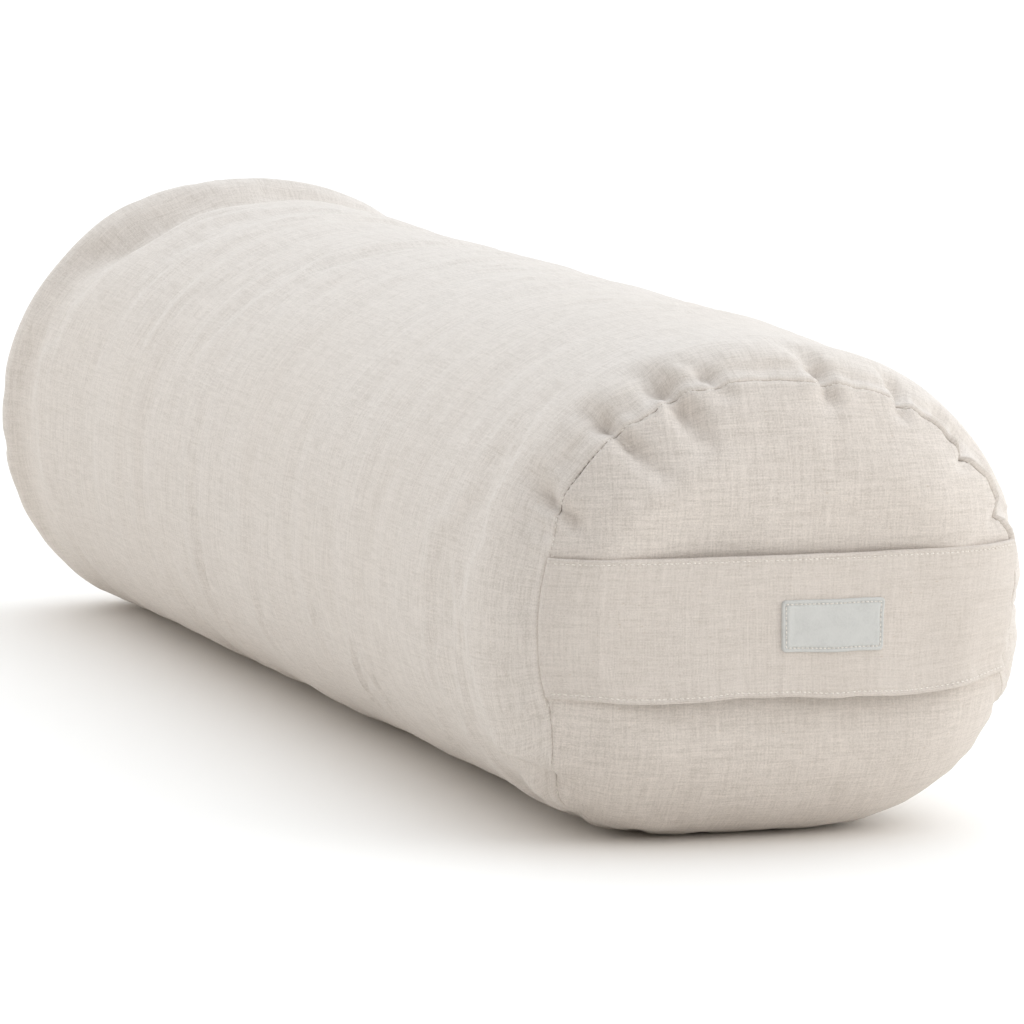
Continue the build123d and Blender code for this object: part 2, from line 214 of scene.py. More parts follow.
# Tucks where the longer cloth is eased into the front seam: u, lean (mm sideways per mm), depth at the seam, half width, length on the tube, length on the panel
FRONT_TUCKS = [
    (290.0, -0.34, 7.4, 5.3, 30, 18), (300.5, 0.1, 2.0, 4.2, 16, 9), (272.0, -0.2, 1.2, 4.5, 18, 7),
    (247.8, 0.10, 7.0, 5.4, 34, 31), (237.0, 0.0, 1.2, 4.0, 16, 8), (260.0, 0.0, -0.9, 6.0, 16, 10),
    (218.0, 0.16, 8.2, 7.6, 40, 31), (228.5, -0.3, 1.8, 3.2, 18, 6), (197.5, 0.42, 4.0, 5.0, 30, 9), (207.0, 0.3, 1.4, 3.2, 16, 6), (176.0, 0.2, 1.0, 6.0, 18, 7),
    (147.5, 0.42, 6.0, 5.4, 32, 17), (158.0, 0.2, -0.9, 6.0, 14, 10), (133.0, 0.3, 1.2, 4.5, 16, 7), (110.0, 0.42, 6.0, 4.6, 26, 10), (98.0, 0.3, 1.2, 4.0, 14, 7),
    (83.0, 0.6, 1.8, 4.6, 28, 10), (72.5, 0.4, 4.8, 4.2, 22, 8), (57.0, 0.1, -1.2, 6.0, 12, 12), (41.0, 0.25, 4.0, 4.4, 24, 9), (30.0, 0.0, -1.0, 5.0, 12, 10),
    (14.0, 0.1, 0.6, 4.6, 16, 6), (1.0, 0.0, 0.7, 5.0, 18, 7), (664.0, -0.1, 0.6, 5.0, 16, 6), (650.0, -0.2, 2.2, 4.4, 20, 10), (634.0, -0.2, 2.6, 5.2, 18, 12),
    (605.0, -0.2, 2.0, 5.0, 18, 12), (578.0, -0.1, 2.2, 5.5, 18, 12), (548.0, 0.0, 1.8, 5.0, 18, 10), (520.0, 0.0, 1.6, 6.0, 18, 10),
    (492.0, 0.0, 1.8, 5.0, 18, 10), (466.0, 0.1, 2.2, 5.5, 18, 12), (440.0, 0.1, 2.2, 5.0, 18, 14),
    (331.0, 0.0, 0.7, 5.0, 14, 4), (352.0, 0.0, 0.6, 5.0, 12, 4), (385.0, 0.1, 1.4, 4.2, 18, 6),
]
REAR_TUCKS = []
_u = 6.0
while _u < PER - 6:
    REAR_TUCKS.append((_u, RNG.uniform(-0.3, 0.3), RNG.uniform(1.2, 4.2), RNG.uniform(4.0, 6.5), RNG.uniform(14, 28), RNG.uniform(8, 22)))
    _u += RNG.uniform(15, 30)


def tucks(u, s, table):
    """Depth pattern of the tucks at s mm from the seam: the tube for s > 0, the end panel for s < 0."""
    out = np.zeros(np.broadcast(u, s).shape)
    a = np.abs(s)
    for u0, lean, depth, w, lt, lp in table:
        on = s >= 0
        length = np.where(on, lt, lp)
        x = np.clip(a / length, 0, 1)
        fall = (1 - x) ** 2 * (1 + 2 * x) * (0.64 + 0.42 * ramp(a / 8.0))
        width = w * (0.72 + 0.8 * x)
        t = wrap(u - u0 - np.where(on, lean * a, lean * -0.5 * a)) / width
        out += -depth * fall * (1 - 0.55 * t * t) * np.exp(-t * t)
    return out


def roll_in(a, depth=1.0, reach=1.9):
    """The cloth's turn down into the seam."""
    x = np.clip(1 - a / reach, 0, 1)
    return -depth * x * x


# Creases on the tube: (u, s) of both ends, depth, half width
CREASES = [
    ((363, 376), (417, 388), 0.75, 2.6), ((345, 380), (365, 376), 0.35, 3.0), ((368, 305), (410, 314), 0.55, 2.4), ((364, 228), (404, 236), 0.55, 2.2),
    ((376, 183), (420, 206), 0.9, 2.4), ((384, 170), (420, 182), 0.7, 2.0), ((350, 190), (376, 183), 0.3, 2.6), ((392, 420), (424, 430), 0.5, 2.2),
    ((396, 470), (430, 474), 0.4, 2.2), ((404, 120), (436, 128), 0.6, 2.4), ((410, 80), (446, 84), 0.5, 2.2), ((321, 62), (358, 57), -0.42, 3.0), ((352, 57), (392, 65), -0.46, 3.0),
    ((386, 63), (416, 87), -0.42, 3.0), ((349, 83), (389, 94), -0.36, 3.0), ((383, 91), (424, 131), -0.38, 3.0), ((350, 12), (394, 16), 0.30, 3.0),
    ((250, 470), (310, 476), 0.30, 2.4), ((214, 520), (280, 530), 0.34, 2.4), ((222, 455), (276, 462), 0.30, 2.2), ((180, 500), (240, 512), 0.34, 2.4),
    ((196, 430), (262, 440), 0.30, 2.4), ((176, 396), (236, 404), 0.26, 2.2), ((170, 340), (226, 350), 0.24, 2.2), ((180, 556), (250, 570), 0.40, 2.8),
    ((160, 300), (214, 306), 0.22, 2.4), ((240, 380), (290, 385), 0.22, 2.2), ((210, 250), (262, 258), 0.20, 2.4), ((176, 210), (224, 216), 0.20, 2.4),
    ((100, 520), (160, 508), 0.34, 2.6), ((90, 440), (150, 432), 0.28, 2.4), ((60, 560), (120, 552), 0.34, 2.6), ((96, 330), (150, 326), 0.24, 2.4),
    ((620, 200), (650, 205), 0.5, 2.4), ((600, 330), (640, 322), 0.5, 2.4), ((590, 430), (636, 440), 0.45, 2.4), ((604, 520), (640, 512), 0.5, 2.4),
]


def creases(u, s):
    out = np.zeros(np.broadcast(u, s).shape)
    for (u0, s0), (u1, s1), depth, w in CREASES:
        du, ds = u1 - u0, s1 - s0
        ln = math.hypot(du, ds)
        au, a_s = wrap(u - u0), s - s0
        t = (au * du + a_s * ds) / ln ** 2
        off = (au * ds - a_s * du) / ln + 1.2 * np.sin(t * 7.0 + u0)
        end = ramp(t / 0.3 + 0.1) * ramp((1 - t) / 0.3 + 0.1) * (t > -0.1) * (t < 1.1)
        x = off / w
        out += depth * end * (0.55 * np.exp(-((x + 1.5) ** 2)) - np.exp(-x * x) + 0.45 * np.exp(-((x - 1.5) ** 2)))
    return out


def streaks(u, s):
    """Faint rings of slack cloth that run round the tube."""
    s = s + 11 * (smooth_noise(u / PER * 9, s / 75.0, 41, 9) - 0.5)
    n = round(PER / 85)
    a = smooth_noise(u / PER * n, (s + 0.05 * u) / 13.0, 11, n) - 0.5
    n2 = round(PER / 46)
    b = smooth_noise(u / PER * n2, (s - 0.04 * u) / 6.5, 23, n2) - 0.5
    n3 = round(PER / 70)
    c = smooth_noise(u / PER * n3, s / 60.0, 31, n3) - 0.5
    near_rear = 1 + 0.55 * ramp((s - 330) / 220.0)
    return near_rear * (1.25 * a + 0.5 * b) + 1.6 * c


def crown(u):
    """1 over the top left of the rear end, where the rim stands out, falling to 0 round the rest."""
    return ramp((288 - u) / 48.0) * ramp((u - 105) / 30.0)


def flare(u, a):
    """The rear seam stands out as a rim."""
    return 1.3 * crown(u) * np.exp(-((a - 6) / 9.0) ** 2)


def neck(u, s):
    """The tube draws in just before its rear seam, which flares."""
    a = S_END - s
    c = crown(u)
    x = a - np.interp(u, [140, 230, 260, 290], [42, 42, 37, 31]) - 3.0 * np.sin(u / 9.0) * c
    return -7.6 * c * np.exp(-(x / np.where(x > 0, 27.0, 10.0)) ** 2) * ramp(a / 12.0) + flare(u, a)


def left_fold(u, s):
    """The slack fold low on the front left, which runs from the tube across the seam."""
    line = np.interp(s, [-20, -12, 0, 10, 30, 60], [424, 419, 410, 401, 396, 394])
    d = wrap(u - line)
    along = ramp((s + 24) / 18.0) * ramp((62 - s) / 30.0)
    return along * (2.2 * np.exp(-((d + 1.5) / 4.5) ** 2) - 3.2 * np.exp(-((d - 6.5) / 5.0) ** 2))


def welt(u, s):
    """The seam allowance stands up as a narrow ridge outside the seam on the right-hand side."""
    du = np.abs(wrap(u - 45.0))
    amt = 0.15 + 1.5 * ramp((72 - du) / 36.0)
    return amt * np.exp(-((s - 1.9) / 1.25) ** 2)


def tube_height(u, s, relax=0.0):
    """How far the tube's cloth lies from the smooth cover, along the normal. s is measured from the front seam."""
    rear = S_END - s
    quiet = 1 - 0.85 * near_zip(u) * ramp((s - 30) / 20.0) * ramp((rear - 30) / 20.0)
    ends = ramp(s / 14.0) * ramp(rear / 14.0)
    h = tucks(u, s, FRONT_TUCKS) + tucks(u, rear, REAR_TUCKS)
    h = h + ends * (streaks(u, s) * 0.85 + 2.3 * creases(u, s)) + left_fold(u, s) + neck(u, s) + relax
    return h * quiet + roll_in(s, 0.7) + roll_in(rear, 1.3, 2.4) + welt(u, s) + 0.7 * np.exp(-((rear - 2.6) / 1.5) ** 2)


def panel_height(u, q, rear=False, relax=0.0):
    """The same for an end panel, q mm in from its seam."""
    table = REAR_TUCKS if rear else FRONT_TUCKS
    h = tucks(u, -q - 1e-6, table)
    if rear:
        h = h + flare(u, 0 * q) * ramp(1 - q / 12.0)
    else:
        h = h + left_fold(u, -q) * ramp(1 - q / 14.0)
    return h + roll_in(q, 1.3 if rear else 0.65, 2.2 if rear else 1.7) + relax


def panel_point(u, q, rear=False, relax=0.0):
    """Point of an end panel q mm in from its seam, along the meridian."""
    if rear:
        pos, nrm = base(u, S_END + q)
    else:
        pos, nrm = base(u, front_s(u, -q))
    return pos + nrm * panel_height(u, q, rear, relax)[..., None], nrm


def tube_point(u, s, relax=0.0):
    f = front_s(u, s)
    pos, nrm = base(u, np.where(s < 200, f, s))
    return pos + nrm * tube_height(u, s, relax)[..., None], nrm


# ------------------------------------------------------------ grid of the cover
N_SLOT = 6
N_ROUND = 228
NC = N_ROUND + N_SLOT
U_HI, U_LO = u_of_side(ZIP_Z + SLOT), u_of_side(ZIP_Z - SLOT)   # just above and below the zip
U_COLS = np.r_[np.linspace(U_HI, U_LO, N_ROUND + 1)[:-1], U_LO + (U_HI + PER - U_LO) * np.arange(N_SLOT) / N_SLOT]
N_TOP, N_SIDE = 67, 50
assert 2 * (N_TOP + N_SIDE) == NC
ZIP_HALF = 240.0


def spaced(a, b, step):
    return np.linspace(a, b, max(2, int(round(abs(b - a) / step)) + 1))


NEAR = np.array([0.0, 0.5, 1.1, 1.9, 2.8, 3.8, 5.0, 6.4, 8.0, 9.8, 11.8, 14.0, 16.4, 19.0, 21.8, 24.8, 28.0, 31.3, 34.7, 38.2])
s_zip0 = S_1 + (-ZIP_HALF + (HL - RF))
s_zip1 = S_1 + (ZIP_HALF + (HL - RF))
S_ROWS = np.concatenate([NEAR, spaced(41.8, s_zip0, 3.7)[:-1], spaced(s_zip0, s_zip1, 3.85)[:-1], spaced(s_zip1, S_END - 34.7, 3.6)[:-1], (S_END - NEAR[:-2])[::-1]])
NR = len(S_ROWS)


# ------------------------------------------------------------ mesh helpers
def make_object(name, verts, faces, uv=None, smooth=True):
    """Mesh object from points in mm. uv holds one pair per corner of each face, in face order."""
    me = bpy.data.meshes.new(name)
    me.from_pydata((np.asarray(verts, float) * MM).tolist(), [], [tuple(int(i) for i in f) for f in faces])
    if uv is not None:
        layer = me.uv_layers.new(name="UVMap")
        layer.data.foreach_set("uv", np.asarray(uv, np.float32).ravel())
    if smooth:
        me.polygons.foreach_set("use_smooth", np.ones(len(me.polygons), bool))
    me.update()
    obj = bpy.data.objects.new(name, me)
    SC.collection.objects.link(obj)
    return obj


def grid_faces(nr, nc, wrap_cols=False, skip=None, start=0):
    """Quads of a grid of nr rows and nc columns, and the row and column of each corner."""
    faces, corners = [], []
    last = nc if wrap_cols else nc - 1
    for i in range(nr - 1):
        for j in range(last):
            if skip is not None and skip[i, j]:
                continue
            k = (j + 1) % nc
            faces.append((start + i * nc + j, start + i * nc + k, start + (i + 1) * nc + k, start + (i + 1) * nc + j))
            corners.append(((i, j), (i, j + 1), (i + 1, j + 1), (i + 1, j)))
    return faces, corners


def with_solid(obj, thickness, offset=-1):
    m = obj.modifiers.new("Thickness", "SOLIDIFY")
    m.thickness = thickness * MM
    m.offset = offset
    m.use_even_offset = False
    m.use_quality_normals = True
    dg = bpy.context.evaluated_depsgraph_get()
    me = bpy.data.meshes.new_from_object(obj.evaluated_get(dg), preserve_all_data_layers=True, depsgraph=dg)
    obj.modifiers.clear()
    old = obj.data
    obj.data = me
    bpy.data.meshes.remove(old)
    return obj


def dome(x, z, rear=False):
    """How far an end panel bulges at (x, z), mm. The handle holds the front one in between two fuller parts."""
    f = 1 - (np.abs(x) / 100.0) ** 2.4 - (np.abs(z - 93.0) / 88.0) ** 2.4
    f = ramp(np.clip(f, 0, 1)) ** 0.8
    if rear:
        return 4.5 * f
    g = ramp(np.clip(1.25 - (np.abs(x) / 88.0) ** 2.2, 0, 1))
    return 2.0 * f + g * (3.6 * np.exp(-((z - 139.0) / 13.5) ** 2) + 2.2 * np.exp(-((z - 40.0) / 13.0) ** 2))


def panel_waves(x, z, seed):
    f = np.clip(1 - (np.abs(x) / 104.0) ** 3 - (np.abs(z - 93.0) / 92.0) ** 3, 0, 1)
    w = smooth_noise(x / 34.0 + 20, z / 30.0 + 20, seed) - 0.5 + 0.5 * (smooth_noise(x / 17.0 + 20, z / 15.0 + 20, seed + 5) - 0.5)
    return 1.2 * w * ramp(f / 0.3)


# ------------------------------------------------------------ cover tube
HEM = [(1.0, 0.14), (3.0, 0.25), (5.6, 0.3)]     # the cloth's turned-in edge: depth, distance from the seam line


def hem_rows(pos, nrm, away):
    """Rows that dive in under the seam, deepest first."""
    out = [pos - nrm * d + away * g for d, g in HEM]
    return out[::-1]


def unit(v):
    return v / np.maximum(np.linalg.norm(v, axis=-1, keepdims=True), 1e-9)


def tube_grid(relax=0.0, detail=None):
    U, S = np.meshgrid(U_COLS, S_ROWS)
    pos, nrm = tube_point(U, S, relax)
    # the closing seam beyond each end of the zip
    du = wrap(U - U_ZIP)
    g = np.exp(-(du / 1.3) ** 2) * ramp((np.abs(pos[..., 1]) - ZIP_HALF - 1.5) / 4.0) * ramp((318 - np.abs(pos[..., 1])) / 10.0)
    edge = np.exp(-((np.abs(du) - SLOT) / 1.6) ** 2) * (np.abs(pos[..., 1]) < ZIP_HALF + 1)
    pos = pos - nrm * (1.5 * g)[..., None] + nrm * (0.25 * edge)[..., None]
    if detail is not None:
        pos = pos + nrm * detail(U, S)[..., None]
    return U, S, pos, nrm


def build_tube(name, relax=0.0, slot=True, thickness=0.8, detail=None):
    U, S, pos, nrm = tube_grid(relax, detail)
    t0 = unit(pos[1] - pos[0])
    t1 = unit(pos[-2] - pos[-1])
    rows = hem_rows(pos[0], nrm[0], t0)
    rows = rows + list(pos) + hem_rows(pos[-1], nrm[-1], t1)[::-1]
    P = np.array(rows)
    s_col = np.r_[-8.5, -4.5, -1.5, S_ROWS, S_END + 1.5, S_END + 4.5, S_END + 8.5]
    nr = len(P)
    P[..., 2] = np.maximum(P[..., 2], 0.02)
    skip = np.zeros((nr, NC), bool)
    if slot:
        y = P[3:-3, 0, 1]
        mid = (pos[:-1, 0, 1] + pos[1:, 0, 1]) / 2
        inside = np.zeros(nr, bool)
        inside[3:3 + len(mid)] = np.abs(mid) < ZIP_HALF
        for j in range(N_ROUND, NC):
            skip[:, j] = inside
    faces, corners = grid_faces(nr, NC, True, skip)
    ucol = np.r_[U_COLS, U_COLS[0] + PER]
    uv = [(ucol[c] * MM, s_col[r] * MM) for q in corners for r, c in q]
    # u runs from +X over the top and s runs along +Y, so this order of corners faces outwards
    obj = make_object(name, P.reshape(-1, 3), [f[::-1] for f in faces], [uv[4 * i + k] for i in range(len(faces)) for k in (3, 2, 1, 0)])
    if thickness:
        with_solid(obj, thickness)
    return obj


# ------------------------------------------------------------ end panels
Q_ROWS = np.r_[NEAR[:17], 32.0, 36.0, 40.0]


def build_panel(name, rear=False, relax=0.0, thickness=0.8, detail=None):
    U, Q = np.meshgrid(U_COLS, Q_ROWS)
    pos, nrm = panel_point(U, Q, rear, relax)
    if detail is not None:
        pos = pos + nrm * detail(U, Q)[..., None]
    out = 1 if rear else -1
    def shaped(p):
        p = p.copy()
        p[..., 1] += out * (dome(p[..., 0], p[..., 2], rear) + panel_waves(p[..., 0], p[..., 2], 71 if rear else 61))
        return p
    ring = pos[-1]
    pos = shaped(pos)
    t0 = unit(pos[1] - pos[0])
    rows = hem_rows(pos[0], nrm[0], t0) + list(pos)
    P = np.array(rows)
    nr = len(P)
    faces, _ = grid_faces(nr, NC, True)
    verts = list(P.reshape(-1, 3))
    last = (nr - 1) * NC
    # the core is a Coons patch inside the last ring; its corners are at 45 degrees
    ang = np.arctan2(ring[:, 2] - 93, ring[:, 0])
    c0 = int(np.argmin(np.abs(ang - math.atan2(52, 62))))
    idx = [(c0 + k) % NC for k in range(NC)]
    top = idx[0:N_TOP + 1]
    left = idx[N_TOP:N_TOP + N_SIDE + 1]
    bottom = idx[N_TOP + N_SIDE:2 * N_TOP + N_SIDE + 1]
    right = idx[2 * N_TOP + N_SIDE:] + [idx[0]]
    T, B = ring[top], ring[bottom][::-1]
    L, R = ring[left], ring[right][::-1]
    a = np.linspace(0, 1, N_TOP + 1)[:, None, None]
    b = np.linspace(0, 1, N_SIDE + 1)[None, :, None]
    core = ((1 - b) * T[:, None] + b * B[:, None] + (1 - a) * R[None] + a * L[None]
            - ((1 - a) * (1 - b) * T[0] + a * (1 - b) * T[-1] + (1 - a) * b * B[0] + a * b * B[-1]))
    core = shaped(core)
    index = np.full((N_TOP + 1, N_SIDE + 1), -1)
    for k, v in enumerate(top):
        index[k, 0] = last + v
    for k, v in enumerate(bottom[::-1]):
        index[k, N_SIDE] = last + v
    for k, v in enumerate(left):
        index[N_TOP, k] = last + v
    for k, v in enumerate(right[::-1]):
        index[0, k] = last + v
    for i in range(1, N_TOP):
        for j in range(1, N_SIDE):
            index[i, j] = len(verts)
            verts.append(core[i, j])
    for i in range(N_TOP):
        for j in range(N_SIDE):
            faces.append((index[i, j], index[i, j + 1], index[i + 1, j + 1], index[i + 1, j]))
    V = np.array(verts)
    V[:, 2] = np.maximum(V[:, 2], 0.02)
    # turn every face outwards
    fc = np.array(faces)
    n = np.cross(V[fc[:, 1]] - V[fc[:, 0]], V[fc[:, 2]] - V[fc[:, 1]])
    core_n = n[-1, 1] * out
    fc_ring = fc[:(nr - 1) * NC]
    flip_ring = n[(nr - 2) * NC:(nr - 1) * NC, 1].mean() * out < 0
    fc_core = fc[(nr - 1) * NC:]
    if flip_ring:
        fc_ring = fc_ring[:, ::-1]
    if core_n < 0:
        fc_core = fc_core[:, ::-1]
    fc = np.vstack([fc_ring, fc_core])
    # the cloth's own flat coordinates: unrolled outwards from the last ring
    flat = V[:, [0, 2]].copy()
    away = unit(P[0][:, [0, 2]] - P[-1][:, [0, 2]])
    run = np.zeros(NC)
    for r in range(nr - 2, -1, -1):
        run = run + np.linalg.norm(P[r] - P[r + 1], axis=1)
        flat[r * NC:(r + 1) * NC] = P[-1][:, [0, 2]] + away * run[:, None]
    obj = make_object(name, V, fc, flat[fc.ravel()] * MM)
    if thickness:
        with_solid(obj, thickness)
    return obj


# ------------------------------------------------------------ closed shells: the filling, and the cloth that is simulated
def min_filter(a, n_r, n_c):
    """Smallest value within n_r rows and n_c columns, where the columns wrap round."""
    out = a.copy()
    for k in range(1, n_c + 1):
        out = np.minimum(out, np.minimum(np.roll(a, k, 1), np.roll(a, -k, 1)))
    b = out.copy()
    for k in range(1, n_r + 1):
        b[k:] = np.minimum(b[k:], out[:-k])
        b[:-k] = np.minimum(b[:-k], out[k:])
    return b


COARSE_C = 116
CU = np.linspace(U_COLS[0], U_COLS[0] + PER, COARSE_C, endpoint=False)
CS = np.concatenate([[0.0, 2.5, 5.5, 9.5, 14.5, 20.5], spaced(27, S_END - 27, 6.2), (S_END - np.array([20.5, 14.5, 9.5, 5.5, 2.5, 0.0]))])
CQ = np.array([2.5, 5.5, 9.5, 14.5, 20.5, 27.0, 33.5, 40.0])


def sampled_min(u_fine, r_fine, h, u, r):
    """h on the fine grid, lowered to its neighbourhood's least value and read at the coarse grid's places."""
    low = min_filter(h, 3, 3)
    j = np.abs(wrap(u[None, :] - u_fine[:, None])).argmin(0)
    i = np.abs(r[None, :] - r_fine[:, None]).argmin(0)
    return low[np.ix_(i, j)]


def inner_tube(inset, seam_inset):
    """Points of a layer inside the cover tube, on the coarse grid."""
    U, S = np.meshgrid(U_COLS, S_ROWS)
    h = tube_height(U, S)
    low = sampled_min(U_COLS, S_ROWS, h, CU, CS)
    u, s = np.meshgrid(CU, CS)
    pos, nrm = base(u, np.where(s < 200, front_s(u, s), s))
    a = np.minimum(s, S_END - s)
    return pos + nrm * (low - inset - seam_inset * np.exp(-(a / 9.0) ** 2))[..., None]


def inner_panel(inset, seam_inset, rear):
    """Points of a layer inside an end panel: rings from its seam inwards, then the core."""
    U, Q = np.meshgrid(U_COLS, Q_ROWS)
    low = sampled_min(U_COLS, Q_ROWS, panel_height(U, Q, rear), CU, CQ)
    u, q = np.meshgrid(CU, CQ)
    pos, nrm = base(u, S_END + q) if rear else base(u, front_s(u, -q))
    pos = pos + nrm * (np.minimum(low, 0) - inset - seam_inset * np.exp(-(q / 9.0) ** 2))[..., None]
    out = 1 if rear else -1
    pos[..., 1] += out * (dome(pos[..., 0], pos[..., 2], rear) - 0.8 * ramp(q / 12.0))
    return pos


def fill_core(verts, ring, first, n_top, shape=None):
    """Coons patch inside a ring of points. Returns its faces; new points are added to verts."""
    n = len(ring)
    n_side = n // 2 - n_top
    ang = np.arctan2(ring[:, 2] - 93, ring[:, 0])
    c0 = int(np.argmin(np.abs(ang - math.atan2(52, 62))))
    odd = n - 2 * (n_top + n_side)
    idx = [(c0 + k) % n for k in range(n)]
    if odd:
        raise ValueError("the ring needs an even number of points")
    top, left = idx[0:n_top + 1], idx[n_top:n_top + n_side + 1]
    bottom, right = idx[n_top + n_side:2 * n_top + n_side + 1], idx[2 * n_top + n_side:] + [idx[0]]
    T, B, L, R = ring[top], ring[bottom][::-1], ring[left], ring[right][::-1]
    a = np.linspace(0, 1, n_top + 1)[:, None, None]
    b = np.linspace(0, 1, n_side + 1)[None, :, None]
    core = ((1 - b) * T[:, None] + b * B[:, None] + (1 - a) * R[None] + a * L[None]
            - ((1 - a) * (1 - b) * T[0] + a * (1 - b) * T[-1] + (1 - a) * b * B[0] + a * b * B[-1]))
    if shape is not None:
        core = shape(core)
    index = np.full((n_top + 1, n_side + 1), -1)
    for k, v in enumerate(top):
        index[k, 0] = first + v
    for k, v in enumerate(bottom[::-1]):
        index[k, n_side] = first + v
    for k, v in enumerate(left):
        index[n_top, k] = first + v
    for k, v in enumerate(right[::-1]):
        index[0, k] = first + v
    for i in range(1, n_top):
        for j in range(1, n_side):
            index[i, j] = len(verts)
            verts.append(core[i, j])
    return [(index[i, j], index[i, j + 1], index[i + 1, j + 1], index[i + 1, j]) for i in range(n_top) for j in range(n_side)]


def face_out(verts, faces, centre):
    """Turns faces so that they look away from a centre line that runs along y."""
    v = np.asarray(verts)
    out = []
    for f in faces:
        p = v[list(f)]
        n = np.cross(p[1] - p[0], p[2] - p[1])
        c = p.mean(0)
        d = c - np.array([0, np.clip(c[1], -200, 200), centre])
        out.append(tuple(f) if n @ d >= 0 else tuple(f)[::-1])
    return out


# ------------------------------------------------------------ slack cloth, simulated
def blur(a, sig_r, sig_c):
    """Gaussian blur whose columns wrap round; the sigmas are in cells."""
    out = a.copy()
    for axis, sig in ((0, sig_r), (1, sig_c)):
        n = int(3 * sig) + 1
        k = np.exp(-0.5 * (np.arange(-n, n + 1) / sig) ** 2)
        k /= k.sum()
        pad = [(0, 0), (0, 0)]
        pad[axis] = (n, n)
        p = np.pad(out, pad, mode="wrap" if axis == 1 else "reflect")
        out = sum(w * (p[i:i + a.shape[0], :] if axis == 0 else p[:, i:i + a.shape[1]]) for i, w in enumerate(k))
    return out


SIM_S = np.concatenate([[0.0, 4.0, 8.5], spaced(13.5, S_END - 13.5, 5.6), [S_END - 8.5, S_END - 4.0, S_END]])
SIM_Q = np.array([4.5, 10.0, 16.0, 22.0, 28.0, 34.0, 40.0])


def simulate_cover():
    """Height of the cloth's own folds over the tube and over the end panels' rims, from a pressure simulation of a cover
    that is cut larger than its seams. Its broad swelling is taken out, so the size stays as drawn."""
    u, s = np.meshgrid(CU, SIM_S)
    tube, tube_n = base(u, np.where(s < 200, front_s(u, s), s))
    uq, q = np.meshgrid(CU, SIM_Q)
    front, front_n = base(uq, front_s(uq, -q))
    rear, rear_n = base(uq, S_END + q)
    rows = np.concatenate([front[::-1], tube, rear])
    normals = np.concatenate([front_n[::-1], tube_n, rear_n])
    nq, ns, n = len(SIM_Q), len(SIM_S), COARSE_C
    rng = np.random.RandomState(3)
    rows = rows + normals * (rng.uniform(-0.15, 0.15, rows.shape[:2]))[..., None]
    verts = list(rows.reshape(-1, 3))
    faces, _ = grid_faces(len(rows), n, True)
    faces += fill_core(verts, rows[0], 0, 33)
    faces += fill_core(verts, rows[-1], (len(rows) - 1) * n, 33)
    faces = face_out(verts, faces, 93)
    obj = make_object("cloth_trial", verts, faces)
    pins = [int(i) for r in (nq, nq + ns - 1) for i in range(r * n, (r + 1) * n)]
    zip_cols = [j for j in range(n) if abs(wrap(CU[j] - U_ZIP)) < 9]
    pins += [r * n + j for r in range(nq, nq + ns) for j in zip_cols]
    group = obj.vertex_groups.new(name="pins")
    group.add(sorted(set(pins)), 1.0, "REPLACE")
    tight = obj.vertex_groups.new(name="slack")
    for k, sv in enumerate(SIM_S):
        near = math.exp(-(sv / 60) ** 2) + math.exp(-((S_END - sv) / 60) ** 2)
        tight.add(list(range((nq + k) * n, (nq + k + 1) * n)), 1 - min(1.0, 0.45 + 0.55 * near), "REPLACE")
    cloth = obj.modifiers.new("Cloth", "CLOTH")
    st = cloth.settings
    st.quality = 6
    st.mass = 0.25
    st.tension_stiffness = st.compression_stiffness = 14
    st.shear_stiffness = 6
    st.bending_stiffness = 0.25
    st.use_pressure = True
    st.uniform_pressure_force = 3.5
    st.effector_weights.gravity = 0
    st.vertex_group_mass = "pins"
    st.vertex_group_shrink = "slack"
    st.shrink_min = -0.085
    st.shrink_max = -0.02
    cloth.point_cache.frame_start, cloth.point_cache.frame_end = 1, 24
    SC.frame_start, SC.frame_end = 1, 24
    for f in range(1, 23):
        SC.frame_set(f)
    dg = bpy.context.evaluated_depsgraph_get()
    got = np.zeros(len(verts) * 3)
    ev = obj.evaluated_get(dg)
    ev.data.vertices.foreach_get("co", got)
    got = got.reshape(-1, 3)[:len(rows) * n].reshape(len(rows), n, 3) / MM
    SC.frame_set(1)
    SC.frame_end = 250
    me = obj.data
    bpy.data.objects.remove(obj)
    bpy.data.meshes.remove(me)
    d = ((got - rows) * normals).sum(-1)
    print("cloth: moved", np.percentile(d, [1, 25, 50, 75, 99]).round(2))
    t = d[nq:nq + ns]
    t = t - blur(t, 4.0, 4.0)
    f = d[:nq][::-1]
    r = d[nq + ns:]
    f = f - blur(np.vstack([f[::-1], f]), 3.0, 3.0)[nq:]
    r = r - blur(np.vstack([r[::-1], r]), 3.0, 3.0)[nq:]
    print("cloth: folds", t.std().round(3), np.abs(t).max().round(2), f.std().round(3))
    return t, f, r


def lookup(u, r, u_axis, r_axis, table):
    """Smooth reading of a table whose columns run round the section."""
    n = len(u_axis)
    step = PER / n
    x = np.mod((u - u_axis[0]) / step, n)
    i0 = np.floor(x).astype(int)
    fx = x - i0
    y = np.interp(r, r_axis, np.arange(len(r_axis)))
    j0 = np.clip(np.floor(y).astype(int), 0, len(r_axis) - 1)
    fy = y - j0
    def cub(p0, p1, p2, p3, t):
        return p1 + 0.5 * t * (p2 - p0 + t * (2 * p0 - 5 * p1 + 4 * p2 - p3 + t * (3 * (p1 - p2) + p3 - p0)))
    def row(j):
        j = np.clip(j, 0, len(r_axis) - 1)
        return cub(*[table[j, (i0 + k) % n] for k in (-1, 0, 1, 2)], fx)
    return cub(*[row(j0 + k) for k in (-1, 0, 1, 2)], fy)


FOLDS = None
FOLDS = simulate_cover()


def sim_limit(v, cap):
    return cap * np.tanh(v / cap)


